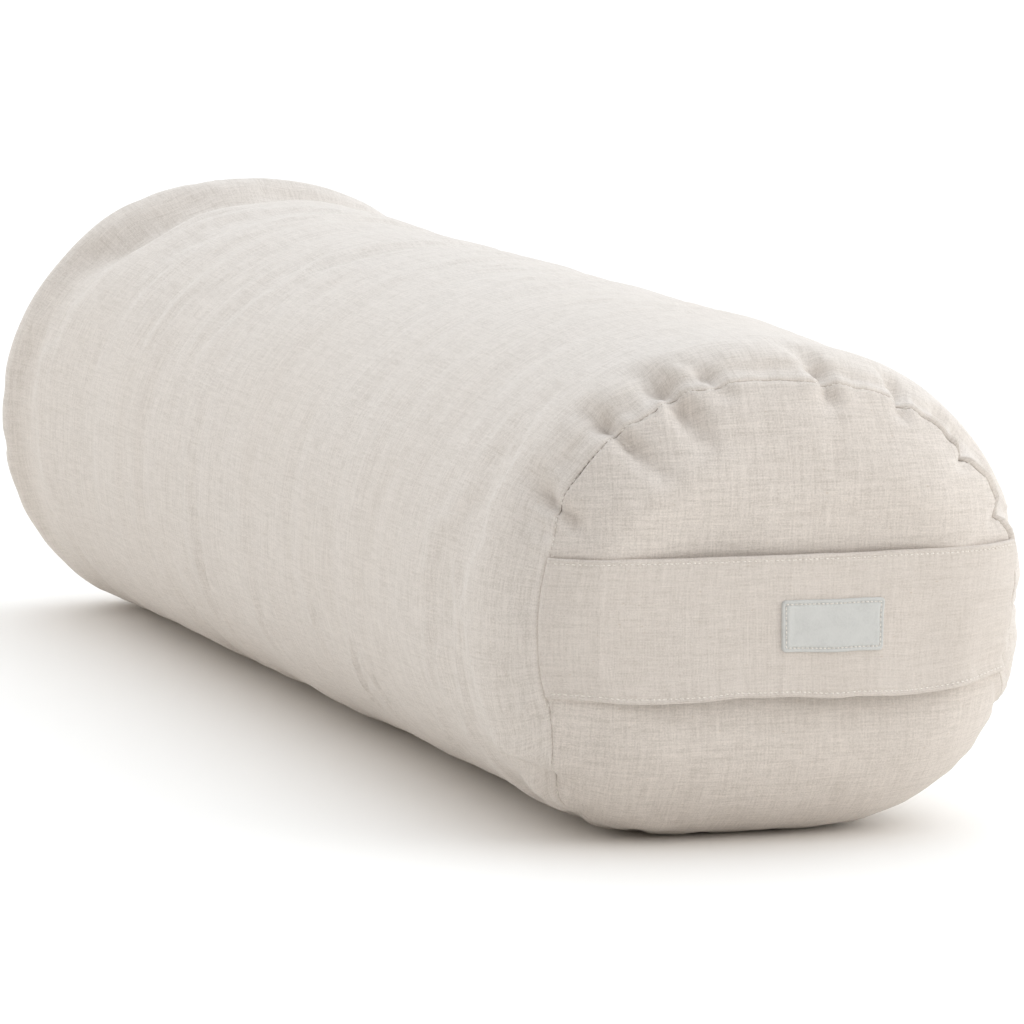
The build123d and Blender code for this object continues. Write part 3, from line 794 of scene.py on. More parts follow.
def tube_detail(u, s):
    if FOLDS is None:
        return 0 * u
    rear = S_END - s
    quiet = 1 - near_zip(u) * ramp((s - 20) / 20.0) * ramp((rear - 20) / 20.0)
    ends = ramp(np.minimum(s, rear) / 9.0)
    return sim_limit(lookup(u, s, CU, SIM_S, FOLDS[0]), 1.6) * SIM_AMOUNT * quiet * ends


def front_detail(u, q):
    if FOLDS is None:
        return 0 * u
    return sim_limit(lookup(u, np.clip(q, SIM_Q[0], SIM_Q[-1]), CU, SIM_Q, FOLDS[1]), 1.0) * 0.7 * ramp(q / 9.0) * ramp((40 - q) / 16.0)


def rear_detail(u, q):
    if FOLDS is None:
        return 0 * u
    return sim_limit(lookup(u, np.clip(q, SIM_Q[0], SIM_Q[-1]), CU, SIM_Q, FOLDS[2]), 1.0) * 0.7 * ramp(q / 9.0) * ramp((40 - q) / 16.0)


SIM_AMOUNT = 0.8
cover_tube = build_tube("linen_cover_tube", detail=tube_detail)
cover_front = build_panel("linen_front_panel", detail=front_detail)
cover_rear = build_panel("linen_rear_panel", rear=True, detail=rear_detail)


# ------------------------------------------------------------ liner and filling
def join_ring_faces(nr):
    return grid_faces(nr, COARSE_C, True)[0]


def build_liner_tube():
    P = inner_tube(1.9, 4.6)[1:-1]
    P[..., 2] = np.maximum(P[..., 2], 1.6)
    faces = join_ring_faces(len(P))
    verts = list(P.reshape(-1, 3))
    faces = face_out(verts, faces, 93)
    s = CS[1:-1]
    uv = [(CU[v % COARSE_C] * MM, s[v // COARSE_C] * MM) for f in faces for v in f]
    obj = make_object("calico_liner_tube", verts, faces, uv)
    return with_solid(obj, 0.6)


def inner_core(ring, rear):
    """Lifts a core so that it carries on the ring's bulge."""
    out = 1 if rear else -1
    def shape(p):
        p = p.copy()
        flat = ring[:, 1].mean() - (out * dome(ring[:, 0], ring[:, 2], rear)).mean()
        e = np.clip(np.minimum(1 - np.abs(p[..., 0]) / np.abs(ring[:, 0]).max(), 1 - np.abs(p[..., 2] - 93) / np.abs(ring[:, 2] - 93).max()) * 6, 0, 1)
        p[..., 1] = p[..., 1] * (1 - ramp(e)) + ramp(e) * (flat + out * dome(p[..., 0], p[..., 2], rear))
        return p
    return shape


def build_liner_end(name, rear):
    P = inner_panel(1.9, 4.6, rear)
    P[..., 2] = np.maximum(P[..., 2], 1.6)
    verts = list(P.reshape(-1, 3))
    faces = join_ring_faces(len(P))
    faces += fill_core(verts, P[-1], (len(P) - 1) * COARSE_C, 33, inner_core(P[-1], rear))
    v = np.array(verts)
    out = 1 if rear else -1
    fixed = []
    for f in faces:
        p = v[list(f)]
        nrm = np.cross(p[1] - p[0], p[2] - p[1])
        c = p.mean(0)
        d = np.array([c[0] * 0.4, out * 60.0, (c[2] - 93) * 0.4])
        fixed.append(tuple(f) if nrm @ d >= 0 else tuple(f)[::-1])
    uv = [(v[i][0] * MM, v[i][2] * MM) for f in fixed for i in f]
    return with_solid(make_object(name, verts, fixed, uv), 0.6)


def build_filling():
    t = inner_tube(3.1, 4.6)[1:-1]
    f, r = inner_panel(3.1, 4.6, False), inner_panel(3.1, 4.6, True)
    rows = np.concatenate([f[::-1], t, r])
    lump = smooth_noise(np.arange(COARSE_C)[None, :] / COARSE_C * 14, np.arange(len(rows))[:, None] / 7.0, 91, 14)
    c = rows.copy()
    c[..., 0], c[..., 2] = 0, 93
    away = unit(rows - c)
    rows = rows - away * (1.4 * lump)[..., None]
    rows[..., 2] = np.maximum(rows[..., 2], 2.6)
    verts = list(rows.reshape(-1, 3))
    faces = join_ring_faces(len(rows))
    faces += fill_core(verts, rows[0], 0, 33, inner_core(rows[0], False))
    faces += fill_core(verts, rows[-1], (len(rows) - 1) * COARSE_C, 33, inner_core(rows[-1], True))
    return make_object("fibre_filling", verts, face_out(verts, faces, 93))


liner_tube = build_liner_tube()
liner_front = build_liner_end("calico_liner_front", False)
liner_rear = build_liner_end("calico_liner_rear", True)
filling = build_filling()


# ------------------------------------------------------------ small repeated solids
def capsules(name, centres, along, across, length, radius, flat=0.8, seed=5, rings=5, sides=7):
    """Stitches: one rounded rod at each centre. across is the direction that is flattened onto the cloth."""
    rng = np.random.RandomState(seed)
    t = np.linspace(-1, 1, rings + 2)
    prof = np.sqrt(np.clip(1 - np.abs(t) ** 4, 0, 1))
    verts, faces, count = [], [], 0
    for c, a, n in zip(centres, along, across):
        a = a / np.linalg.norm(a)
        n = n - a * (n @ a)
        n = n / np.linalg.norm(n)
        b = np.cross(a, n)
        a = a + b * rng.normal(0, 0.05)
        ln, rad = length * rng.uniform(0.94, 1.05), radius * rng.uniform(0.92, 1.08)
        block = [c - a * ln / 2 - n * rad * 0.45]
        for k in range(1, rings + 1):
            sag = -0.45 * rad * t[k] ** 2
            for m in range(sides):
                w = 2 * math.pi * m / sides
                block.append(c + a * ln / 2 * t[k] + (b * math.cos(w) + n * flat * math.sin(w)) * rad * prof[k] + n * sag)
        block.append(c + a * ln / 2 - n * rad * 0.45)
        verts += block
        for m in range(sides):
            faces.append((count, count + 1 + (m + 1) % sides, count + 1 + m))
            e = count + 1 + (rings - 1) * sides
            faces.append((count + 1 + rings * sides, e + m, e + (m + 1) % sides))
            for k in range(rings - 1):
                p = count + 1 + k * sides
                faces.append((p + m, p + (m + 1) % sides, p + sides + (m + 1) % sides, p + sides + m))
        count += len(block)
    obj = make_object(name, verts, faces)
    bm = bmesh.new()
    bm.from_mesh(obj.data)
    bmesh.ops.recalc_face_normals(bm, faces=bm.faces)
    bm.to_mesh(obj.data)
    bm.free()
    return obj


def evenly(points, pitch, start=0.5):
    """Places every pitch along a polyline: centres, directions and the fractional index of each."""
    d = np.linalg.norm(np.diff(points, axis=0), axis=1)
    acc = np.r_[0, np.cumsum(d)]
    n = int((acc[-1] - 2 * start * pitch) / pitch) + 1
    at = start * pitch + np.arange(n) * (acc[-1] - 2 * start * pitch) / max(1, n - 1)
    idx = np.interp(at, acc, np.arange(len(points)))
    c = np.stack([np.interp(at, acc, points[:, k]) for k in range(3)], 1)
    c1 = np.stack([np.interp(at + 0.5, acc, points[:, k]) for k in range(3)], 1)
    c0 = np.stack([np.interp(at - 0.5, acc, points[:, k]) for k in range(3)], 1)
    return c, c1 - c0, idx


def ring_stitches(name, rear):
    u = np.linspace(0, PER, 1400)
    s = S_END + 0 * u if rear else 0 * u
    pos, nrm = tube_point(u, s) if not rear else tube_point(u, s)
    pos = pos - nrm * 0.12
    pos[..., 2] = np.maximum(pos[..., 2], 0.6)
    c, a, i = evenly(pos, 2.6)
    n = np.stack([np.interp(i, np.arange(len(u)), nrm[:, k]) for k in range(3)], 1)
    return capsules(name, c, a, n, 2.0, 0.27, seed=11 + rear)


front_thread = ring_stitches("front_seam_stitches", False)
rear_thread = ring_stitches("rear_seam_stitches", True)


def along_tube(z, y0, y1, lift, n=700):
    """Line on the +X side of the cover at height z: points and normals."""
    y = np.linspace(y0, y1, n)
    s = S_1 + (y + (HL - RF))
    s = np.where(y < -(HL - RF), (np.arcsin(np.clip((y + (HL - RF)) / RF, -1, 1)) + A_F) * RF, s)
    s = np.where(y > HL - RR, S_2 + np.arcsin(np.clip((y - (HL - RR)) / RR, -1, 1)) * RR, s)
    u = np.full(n, u_of_side(z))
    pos, nrm = tube_point(u, s)
    pos = pos + nrm * (tube_detail(u, s) + lift)[..., None]
    return pos, nrm


def line_stitches(name, z, spans, pitch, length, radius, lift, seed):
    cs, an, ns = [], [], []
    for y0, y1 in spans:
        pos, nrm = along_tube(z, y0, y1, lift)
        c, a, i = evenly(pos, pitch)
        cs.append(c)
        an.append(a)
        ns.append(np.stack([np.interp(i, np.arange(len(nrm)), nrm[:, k]) for k in range(3)], 1))
    return capsules(name, np.concatenate(cs), np.concatenate(an), np.concatenate(ns), length, radius, seed=seed)


side_thread = line_stitches("side_seam_stitches", ZIP_Z, [(-306, -243), (243, 306)], 2.6, 2.0, 0.32, -1.15, 21)
zip_stitch_upper = line_stitches("zip_stitches_upper", ZIP_Z + 7.7, [(-243, 243)], 2.9, 2.25, 0.27, 0.12, 22)
zip_stitch_lower = line_stitches("zip_stitches_lower", ZIP_Z - 7.7, [(-243, 243)], 2.9, 2.25, 0.27, 0.12, 23)


# ------------------------------------------------------------ zip
def tube_along(name, path, radius, sides=6, closed_ends=True):
    """Round wire through a path that never turns back on itself."""
    p = np.asarray(path, float)
    t = unit(np.gradient(p, axis=0))
    ref = np.array([0.0, 1.0, 0.0])
    b = np.cross(t, ref)
    b = unit(np.where(np.linalg.norm(b, axis=1, keepdims=True) < 1e-3, [1.0, 0, 0], b))
    n = np.cross(b, t)
    w = np.linspace(0, 2 * np.pi, sides, endpoint=False)
    ring = p[:, None] + radius * (b[:, None] * np.cos(w)[None, :, None] + n[:, None] * np.sin(w)[None, :, None])
    faces, _ = grid_faces(len(p), sides, True)
    if closed_ends:
        faces.append(tuple(range(sides))[::-1])
        k = (len(p) - 1) * sides
        faces.append(tuple(range(k, k + sides)))
    obj = make_object(name, ring.reshape(-1, 3), faces)
    bm = bmesh.new()
    bm.from_mesh(obj.data)
    bmesh.ops.recalc_face_normals(bm, faces=bm.faces)
    bm.to_mesh(obj.data)
    bm.free()
    return obj


def build_coil(name, sign):
    """Coiled monofilament whose loops stand in for teeth, laid on its tape beside the zip's middle line."""
    pitch, seg, half = 1.35, 10, 235.0
    n = int(2 * half / pitch) * seg
    k = np.arange(n + 1) / seg
    w = 2 * np.pi * k + (np.pi if sign < 0 else 0.0)
    y = -half + 0.4 + k * pitch
    zc, xc = 1.75, 114.2
    x = xc + 0.84 * np.sign(np.cos(w)) * np.abs(np.cos(w)) ** 0.8
    z = ZIP_Z + sign * (zc + 1.02 * np.sign(-np.sin(w)) * np.abs(np.sin(w)) ** 0.75)
    return tube_along(name, np.stack([x, y, z], 1), 0.25, 6)


coil_upper, coil_lower = build_coil("zip_coil_loops_upper", 1), build_coil("zip_coil_loops_lower", -1)


def build_tape(name, sign):
    """Woven tape with a raised rib beside the coil and a thin selvedge."""
    n = 240
    y = np.linspace(-248, 248, n)
    w = np.array([0.62, 0.9, 1.6, 2.6, 3.3, 3.6, 4.0, 4.3, 5.2, 7.0, 9.0, 11.4, 12.4, 12.8, 13.0])
    top = 113.1 - 0.02 + np.array([-0.10, 0, 0, 0, 0.0, 0.16, 0.16, 0.0, 0, 0, 0, 0, 0.04, 0.02, -0.12])
    bottom = np.full(len(w), 112.62)
    bottom[0] += 0.1
    bottom[-1] += 0.1
    x = np.r_[top, bottom[::-1]]
    z = ZIP_Z + sign * np.r_[w, w[::-1]]
    P = np.stack([np.broadcast_to(x, (n, len(x))), np.broadcast_to(y[:, None], (n, len(x))), np.broadcast_to(z, (n, len(x)))], -1).copy()
    faces, _ = grid_faces(n, len(x), True)
    m = len(x)
    h = len(w)
    for base_row in (0, (n - 1) * m):
        for j in range(h - 1):
            faces.append((base_row + j, base_row + j + 1, base_row + m - 2 - j, base_row + m - 1 - j))
    verts = P.reshape(-1, 3)
    uv = [(verts[v][1] * MM, verts[v][2] * MM) for f in faces for v in f]
    obj = make_object(name, verts, faces, uv)
    bm = bmesh.new()
    bm.from_mesh(obj.data)
    bmesh.ops.recalc_face_normals(bm, faces=bm.faces)
    bm.to_mesh(obj.data)
    bm.free()
    return obj


tape_upper, tape_lower = build_tape("zip_tape_woven_upper", 1), build_tape("zip_tape_woven_lower", -1)


def softened(node, name, width, segments=2):
    """Copy of a CAD node with its edges rounded."""
    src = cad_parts[node]
    me = src.data.copy()
    me.name = name
    obj = bpy.data.objects.new(name, me)
    SC.collection.objects.link(obj)
    bm = bmesh.new()
    bm.from_mesh(me)
    bmesh.ops.remove_doubles(bm, verts=bm.verts, dist=2e-6)
    bmesh.ops.dissolve_limit(bm, angle_limit=math.radians(1.0), verts=bm.verts, edges=bm.edges)
    sharp = [e for e in bm.edges if len(e.link_faces) == 2 and e.calc_face_angle(0) > math.radians(35)]
    bmesh.ops.bevel(bm, geom=sharp, offset=width * MM, segments=segments, profile=0.6, affect="EDGES", clamp_overlap=True)
    bmesh.ops.recalc_face_normals(bm, faces=bm.faces)
    bm.to_mesh(me)
    bm.free()
    me.materials.clear()
    me.polygons.foreach_set("use_smooth", np.ones(len(me.polygons), bool))
    if hasattr(me, "set_sharp_from_angle"):
        me.set_sharp_from_angle(angle=math.radians(40))
    return obj


slider = softened("zip_slider", "zip_slider_cast", 0.28)
pull = softened("zip_pull", "zip_pull_cast", 0.16)
top_stops = softened("zip_top_stops", "zip_top_stops_crimped", 0.22)
bottom_stop = softened("zip_bottom_stop", "zip_bottom_stop_crimped", 0.22)


# ------------------------------------------------------------ carry handle
H_W, H_T, H_MID = 55.0, 1.8, 88.5
CROWN = -332.54                       # y of the strap's middle surface at x = 0
EDGE_X = np.array([-97, -91, -78, -68, -56.5, -38, -19.5, 0, 20, 28.5, 48, 62, 77, 92, 99.0])
EDGE_DZ = np.array([0.6, 0.8, 0.2, -0.9, -1.2, -0.9, 0.2, -0.1, -1.2, -0.9, -1.6, -0.9, 0.7, 3.0, 3.6])
OFF_X = np.array([-99, -80, -60, -35, -14, 4, 24, 40, 56, 74, 88, 99.0])
OFF_Y = np.array([0.0, 0.5, 1.7, 2.0, 1.3, 1.0, 2.2, 2.8, 2.0, 2.6, 1.0, 0.0])      # how far the lower edge stands off further than the upper


def seam_side(side):
    """Points and normals up one side of the front seam, in order of height."""
    u = np.linspace(-60, 60, 400) + (u_of_side(90, -1) if side < 0 else 0.0)
    q = np.full(len(u), 1.5)
    pos, nrm = panel_point(u, q)
    o = np.argsort(pos[:, 2])
    pos, nrm = pos[o], nrm[o]
    keep = np.r_[True, np.diff(np.maximum.accumulate(pos[:, 2])) > 1e-4]
    return pos[keep], nrm[keep]


SIDES = {-1: seam_side(-1), 1: seam_side(1)}


def strap_path(side, z):
    """Middle surface of the strap at height z, from x = 0 to the seam and down into it."""
    ps, ns = SIDES[side]
    e = np.array([np.interp(z, ps[:, 2], ps[:, k]) for k in range(3)])
    n = unit(np.array([np.interp(z, ps[:, 2], ns[:, k]) for k in range(3)]))
    n2, e2 = n[:2] / np.linalg.norm(n[:2]), e[:2]
    t2 = np.array([-n2[1], n2[0]]) * side           # onward round the rounding, away from the panel
    if t2[1] < 0:
        t2 = -t2
    end = e2 + n2 * (H_T / 2 + 0.25)
    j = np.array([side * 62.0, CROWN + 62.0 ** 2 / (2 * 535.0)])
    jt = np.array([side * 1.0, 62.0 / 535.0])
    x0 = np.linspace(0, 62, 90)
    crown = np.stack([side * x0, CROWN + x0 ** 2 / 1070.0], 1)
    span = np.linalg.norm(end - j)
    t = np.linspace(0, 1, 70)[1:, None]
    m0, m1 = jt / np.linalg.norm(jt) * span * 1.15, t2 * span * 0.95
    curve = ((2 * t ** 3 - 3 * t ** 2 + 1) * j + (t ** 3 - 2 * t ** 2 + t) * m0 + (-2 * t ** 3 + 3 * t ** 2) * end + (t ** 3 - t ** 2) * m1)
    w = np.linspace(0, 1, 14)[1:, None]
    turn = end + t2 * 1.6 * np.sin(w * np.pi / 2) - n2 * 1.6 * (1 - np.cos(w * np.pi / 2))
    dive = turn[-1] - n2 * np.linspace(0, 1, 5)[1:, None] * 3.4
    return np.vstack([crown, curve, turn, dive])


N_V = 33
V_AT = np.linspace(-1, 1, N_V)
STRAP = {}
for _side in (-1, 1):
    _rows = []
    for _v in V_AT:
        _p = strap_path(_side, H_MID + _v * H_W / 2)
        _d = np.r_[0, np.cumsum(np.linalg.norm(np.diff(_p, axis=0), axis=1))]
        _t = np.r_[0, np.cumsum(np.full(199, 1.0))] / 199 * _d[-1]
        _rows.append(np.stack([np.interp(_t, _d, _p[:, 0]), np.interp(_t, _d, _p[:, 1])], 1))
    STRAP[_side] = np.array(_rows)               # (v, station, xy)


def strap_point(side, t, v):
    """Middle surface of the strap: t from 0 at the middle of the bolster to 1 at the end, v from -1 at the lower edge to 1."""
    g = STRAP[side]
    a = np.clip(t, 0, 1) * (g.shape[1] - 1)
    b = (np.clip(v, -1, 1) + 1) / 2 * (N_V - 1)
    i, k = np.minimum(a.astype(int), g.shape[1] - 2), np.minimum(b.astype(int), N_V - 2)
    fa, fb = (a - i)[..., None], (b - k)[..., None]
    p = (g[k, i] * (1 - fa) + g[k, i + 1] * fa) * (1 - fb) + (g[k + 1, i] * (1 - fa) + g[k + 1, i + 1] * fa) * fb
    x = p[..., 0]
    low = (1 - v) / 2
    dz = hermite(x, EDGE_X, EDGE_DZ) * ramp(low) * 1.0
    off = hermite(x, OFF_X, OFF_Y)
    free = ramp((96 - np.abs(x)) / 22.0)
    y = p[..., 1] + free * (1.3 * ramp((1 + v) / 2) * (1 - (x / 72.0) ** 2) - off * low ** 1.5)
    y = y - free * (0.30 * np.exp(-((x + 77) / 1.6) ** 2) + 0.26 * np.exp(-((x + 1.5 - 2 * v) / 1.5) ** 2))
    y = y + free * 0.5 * (smooth_noise(x / 26.0 + 40, v * 1.3 + 40, 77) - 0.5)
    z = H_MID + v * H_W / 2 + dz + 0.22 * (smooth_noise(x / 11.0 + 40, v + 40, 78) - 0.5) * np.abs(v) ** 4
    return np.stack([x, y, z], -1)


def strap_frame(side, t, v, e=0.004):
    """Middle surface point, outward normal and the directions of growing t and v."""
    p = strap_point(side, t, v)
    dt = strap_point(side, np.minimum(t + e, 1), v) - strap_point(side, np.maximum(t - e, 0), v)
    # across the middle, the other half carries the surface on
    over = strap_point(-side, np.maximum(e - t, 0), v)
    dt = np.where((t < e)[..., None], strap_point(side, t + e, v) - over, dt)
    dv = strap_point(side, t, np.minimum(v + 0.01, 1)) - strap_point(side, t, np.maximum(v - 0.01, -1))
    dt, dv = unit(dt), unit(dv)
    n = unit(np.cross(dt, dv) * side)
    n = np.where(n[..., 1:2] > 0.95, -n, n)
    return p, n, dt, dv


STITCH_IN = 2.0
STRAP_LEN = {s: np.linalg.norm(np.diff(strap_point(s, np.linspace(0, 1, 400), np.zeros(400)), axis=0), axis=1).sum() for s in (-1, 1)}
T_SEAM = {s: 1 - 6.2 / STRAP_LEN[s] for s in (-1, 1)}
STITCH_PITCH = 2.25


def build_strap(side):
    """Half of the folded strap as one closed cloth sleeve: rounded folded edges, a stitched channel inside each edge."""
    n_t = 210
    t = np.linspace(0, 1, n_t)
    length = t * STRAP_LEN[side]
    half = H_W / 2
    w = np.r_[np.linspace(-half + 0.9, -half + 4.2, 9)[:-1], np.linspace(-half + 4.2, half - 4.2, 22), np.linspace(half - 4.2, half - 0.9, 9)[1:]]
    ang = np.linspace(np.pi / 2, -np.pi / 2, 6)[1:-1]
    r = H_T / 2
    prof = [(x, r) for x in w] + [(half - r + r * math.cos(a), r * math.sin(a)) for a in ang] + [(x, -r) for x in w[::-1]] \
        + [(-half + r - r * math.cos(a), -r * math.sin(a)) for a in ang]
    prof = np.array(prof)
    m = len(prof)
    T = np.repeat(t[:, None], m, 1)
    A, H = np.broadcast_to(prof[:, 0], (n_t, m)), np.broadcast_to(prof[:, 1], (n_t, m))
    L = np.repeat(length[:, None], m, 1)
    p, n, dt, dv = strap_frame(side, T, A / half)
    # squeezed along the stitches, puffed between the rows and the edge
    inset = half - np.abs(A)
    ph = 2 * np.pi * L / STITCH_PITCH
    hole = np.exp(-((inset - STITCH_IN) / 0.55) ** 2) * (0.30 + 0.12 * np.cos(ph))
    puff = 0.12 * np.exp(-((inset - 0.9) / 0.7) ** 2) * (1 - 0.5 * np.cos(ph))
    pucker = 0.10 * np.exp(-((inset - STITCH_IN - 2.6) / 2.2) ** 2) * (smooth_noise(L / 3.1 + 5, A * 0 + 3, 88 + side) - 0.5) * 2
    face = np.clip(np.abs(H) / r, 0, 1)
    thick = (1 - 0.45 * ramp((T - T_SEAM[side]) / (1 - T_SEAM[side])))
    h = np.sign(H) * (np.abs(H) - face * (hole - puff - pucker)) * thick
    P = p + n * h[..., None]
    faces, corners = grid_faces(n_t, m, True)
    k = (n_t - 1) * m
    faces.append(tuple(range(k, k + m)))
    # the closed end at the middle lies flush against the other half
    faces.append(tuple(range(m))[::-1])
    a_ext = np.r_[np.arange(m), m]
    uvx = np.r_[prof[:, 0], prof[0, 0]]
    uv = [(side * length[rw] * MM, (uvx[c] + (0 if c < len(w) + 4 else 0)) * MM) for q in corners for rw, c in q]
    uv += [(side * length[-1] * MM, 0.0)] * m + [(0.0, 0.0)] * m
    obj = make_object("linen_handle_" + ("right" if side > 0 else "left"), P.reshape(-1, 3), faces, uv)
    bm = bmesh.new()
    bm.from_mesh(obj.data)
    bmesh.ops.recalc_face_normals(bm, faces=bm.faces)
    bm.faces.ensure_lookup_table()
    ends = sorted(bm.faces, key=lambda f: -len(f.verts))[:2]
    mid = min(ends, key=lambda f: abs(f.calc_center_median().x))
    bmesh.ops.delete(bm, geom=[mid], context="FACES_ONLY")
    bm.to_mesh(obj.data)
    bm.free()
    return obj


def build_interlining(side):
    n_t, n_v = 120, 20
    t, v = np.meshgrid(np.linspace(0, T_SEAM[side] - 0.01, n_t), np.linspace(-0.93, 0.93, n_v), indexing="ij")
    p, n, _, _ = strap_frame(side, t, v)
    top, bot = p + n * 0.28, p - n * 0.28
    P = np.concatenate([top, bot[:, ::-1]], 1)
    m = 2 * n_v
    faces, _ = grid_faces(n_t, m, True)
    faces.append(tuple(range(m))[::-1])
    faces.append(tuple(range((n_t - 1) * m, n_t * m)))
    obj = make_object("interlining_" + ("right" if side > 0 else "left"), P.reshape(-1, 3), faces)
    bm = bmesh.new()
    bm.from_mesh(obj.data)
    bmesh.ops.recalc_face_normals(bm, faces=bm.faces)
    bm.to_mesh(obj.data)
    bm.free()
    return obj


def strap_stitches(side, upper):
    end = T_SEAM[side] - 0.5 / STRAP_LEN[side]
    t = np.linspace(0.002, end, 900)
    v = np.full(len(t), (1 if upper else -1) * (1 - STITCH_IN / (H_W / 2)))
    p, n, dt, dv = strap_frame(side, t, v)
    line = p + n * (H_T / 2 - 0.24)
    c, a, i = evenly(line, STITCH_PITCH)
    nn = np.stack([np.interp(i, np.arange(len(t)), n[:, k]) for k in range(3)], 1)
    return capsules("handle_stitches_%s_%s" % ("upper" if upper else "lower", "right" if side > 0 else "left"), c, a, nn, 1.85, 0.25, seed=31 + 2 * side + upper)


handles = {s: build_strap(s) for s in (-1, 1)}
linings = {s: build_interlining(s) for s in (-1, 1)}
strap_rows = {(s, up): strap_stitches(s, up) for s in (-1, 1) for up in (True, False)}


# ------------------------------------------------------------ label
LAB_W, LAB_H, LAB_T, LAB_R, LAB_X, LAB_Z = 43.0, 20.0, 1.1, 1.8, 17.5, 88.5
_t = np.linspace(0, 0.7, 600)
_x = {k: np.abs(strap_point(k, _t, np.zeros(600))[:, 0]) for k in (-1, 1)}


def on_strap(x, z):
    """Outer face of the strap at (x, z): point and normal."""
    v = np.clip((z - H_MID) / (H_W / 2), -1, 1)
    out = {}
    for k in (-1, 1):
        t = np.interp(np.abs(x), _x[k], _t)
        p, n, _, _ = strap_frame(k, t, v, 0.02)
        out[k] = p + n * (H_T / 2), n
    right = (x >= 0)[..., None]
    return np.where(right, out[1][0], out[-1][0]), np.where(right, out[1][1], out[-1][1])


def rounded(a, b):
    """Maps a rectangle onto one with rounded corners, without folding it."""
    hw, hh = LAB_W / 2, LAB_H / 2
    px, pz = np.abs(a) - (hw - LAB_R), np.abs(b) - (hh - LAB_R)
    c = (px > 0) & (pz > 0)
    m = np.maximum(px, pz)
    l = np.maximum(np.hypot(px, pz), 1e-9)
    x = np.where(c, hw - LAB_R + px * m / l, np.abs(a))
    z = np.where(c, hh - LAB_R + pz * m / l, np.abs(b))
    edge = np.where(c, LAB_R - m, np.minimum(hw - np.abs(a), hh - np.abs(b)))
    return np.sign(a) * x, np.sign(b) * z, edge


def label_track(inset):
    """Closed line at a distance inside the label's edge, and the length along it."""
    hw, hh, r = LAB_W / 2 - inset, LAB_H / 2 - inset, max(LAB_R - inset, 0.5)
    pts = []
    for cx, cz, a0 in ((hw - r, hh - r, 0), (-hw + r, hh - r, 90), (-hw + r, -hh + r, 180), (hw - r, -hh + r, 270)):
        for k in range(9):
            a = math.radians(a0 + 90 * k / 8)
            pts.append((cx + r * math.cos(a), cz + r * math.sin(a)))
    pts.append(pts[0])
    p = np.array(pts)
    d = np.r_[0, np.cumsum(np.linalg.norm(np.diff(p, axis=0), axis=1))]
    t = np.linspace(0, d[-1], 2000)
    return np.stack([np.interp(t, d, p[:, 0]), np.interp(t, d, p[:, 1])], 1), d[-1]


LAB_IN, LAB_PITCH = 1.6, 1.85
LAB_LINE, LAB_LEN = label_track(LAB_IN)
LAB_N = int(round(LAB_LEN / LAB_PITCH))


def build_label():
    nx, nz = 131, 67
    a, b = np.meshgrid(np.linspace(-LAB_W / 2, LAB_W / 2, nx), np.linspace(-LAB_H / 2, LAB_H / 2, nz), indexing="ij")
    x, z, edge = rounded(a, b)
    h = 0.3 + (LAB_T - 0.3) * np.sqrt(np.clip(1 - (1 - np.clip(edge / 0.55, 0, 1)) ** 2, 0, 1))
    h = h - 0.28 * np.exp(-((edge - LAB_IN) / 0.42) ** 2)
    h = h + 0.10 * np.exp(-((edge - LAB_IN - 1.4) / 0.9) ** 2) + 0.16 * ramp((edge - 2) / 5.0)
    holes = LAB_LINE[(np.arange(LAB_N) * len(LAB_LINE) / LAB_N).astype(int)]
    near = np.full(a.shape, 9.0)
    for hx, hz in holes:
        near = np.minimum(near, np.hypot(x - hx, z - hz))
    h = h - 0.22 * np.exp(-(near / 0.38) ** 2)
    h = h + 0.10 * (smooth_noise(x / 5.0 + 30, z / 5.0 + 30, 51) - 0.5) + 0.05 * (smooth_noise(x / 1.3 + 60, z / 1.3 + 60, 52) - 0.5)
    # a slight wobble in the cut edge
    wob = 0.12 * (smooth_noise(x / 6 + 10, z / 6 + 10, 53) - 0.5) * np.exp(-(edge / 2.0) ** 2)
    p, n = on_strap(LAB_X + x * (1 + wob / 24), LAB_Z + z * (1 + wob / 11))
    top = p + n * h[..., None]
    under = p - n * 0.05
    verts = list(top.reshape(-1, 3)) + list(under.reshape(-1, 3))
    faces, _ = grid_faces(nx, nz)
    lower = [tuple(i + nx * nz for i in f[::-1]) for f in faces]
    rim = [(i, 0) for i in range(nx)] + [(nx - 1, j) for j in range(1, nz)] + [(i, nz - 1) for i in range(nx - 2, -1, -1)] + [(0, j) for j in range(nz - 2, 0, -1)]
    ids = [i * nz + j for i, j in rim]
    side = [(ids[k], ids[(k + 1) % len(ids)], ids[(k + 1) % len(ids)] + nx * nz, ids[k] + nx * nz) for k in range(len(ids))]
    allf = faces + lower + side
    fx, fz = x.reshape(-1), z.reshape(-1)
    uv = [(fx[v % (nx * nz)] * MM, fz[v % (nx * nz)] * MM) for f in allf for v in f]
    obj = make_object("suede_label", verts, allf, uv)
    bm = bmesh.new()
    bm.from_mesh(obj.data)
    bmesh.ops.recalc_face_normals(bm, faces=bm.faces)
    bm.to_mesh(obj.data)
    bm.free()
    return obj


def build_label_stitches():
    k = (np.arange(LAB_N) + 0.5) / LAB_N
    i = (k * len(LAB_LINE)).astype(int) % len(LAB_LINE)
    c2 = LAB_LINE[i]
    d2 = LAB_LINE[(i + 8) % len(LAB_LINE)] - LAB_LINE[(i - 8) % len(LAB_LINE)]
    p, n = on_strap(LAB_X + c2[:, 0], LAB_Z + c2[:, 1])
    p2, _ = on_strap(LAB_X + c2[:, 0] + d2[:, 0], LAB_Z + c2[:, 1] + d2[:, 1])
    return capsules("label_stitches", p + n * (LAB_T - 0.12), p2 - p, n, 1.5, 0.22, seed=61)


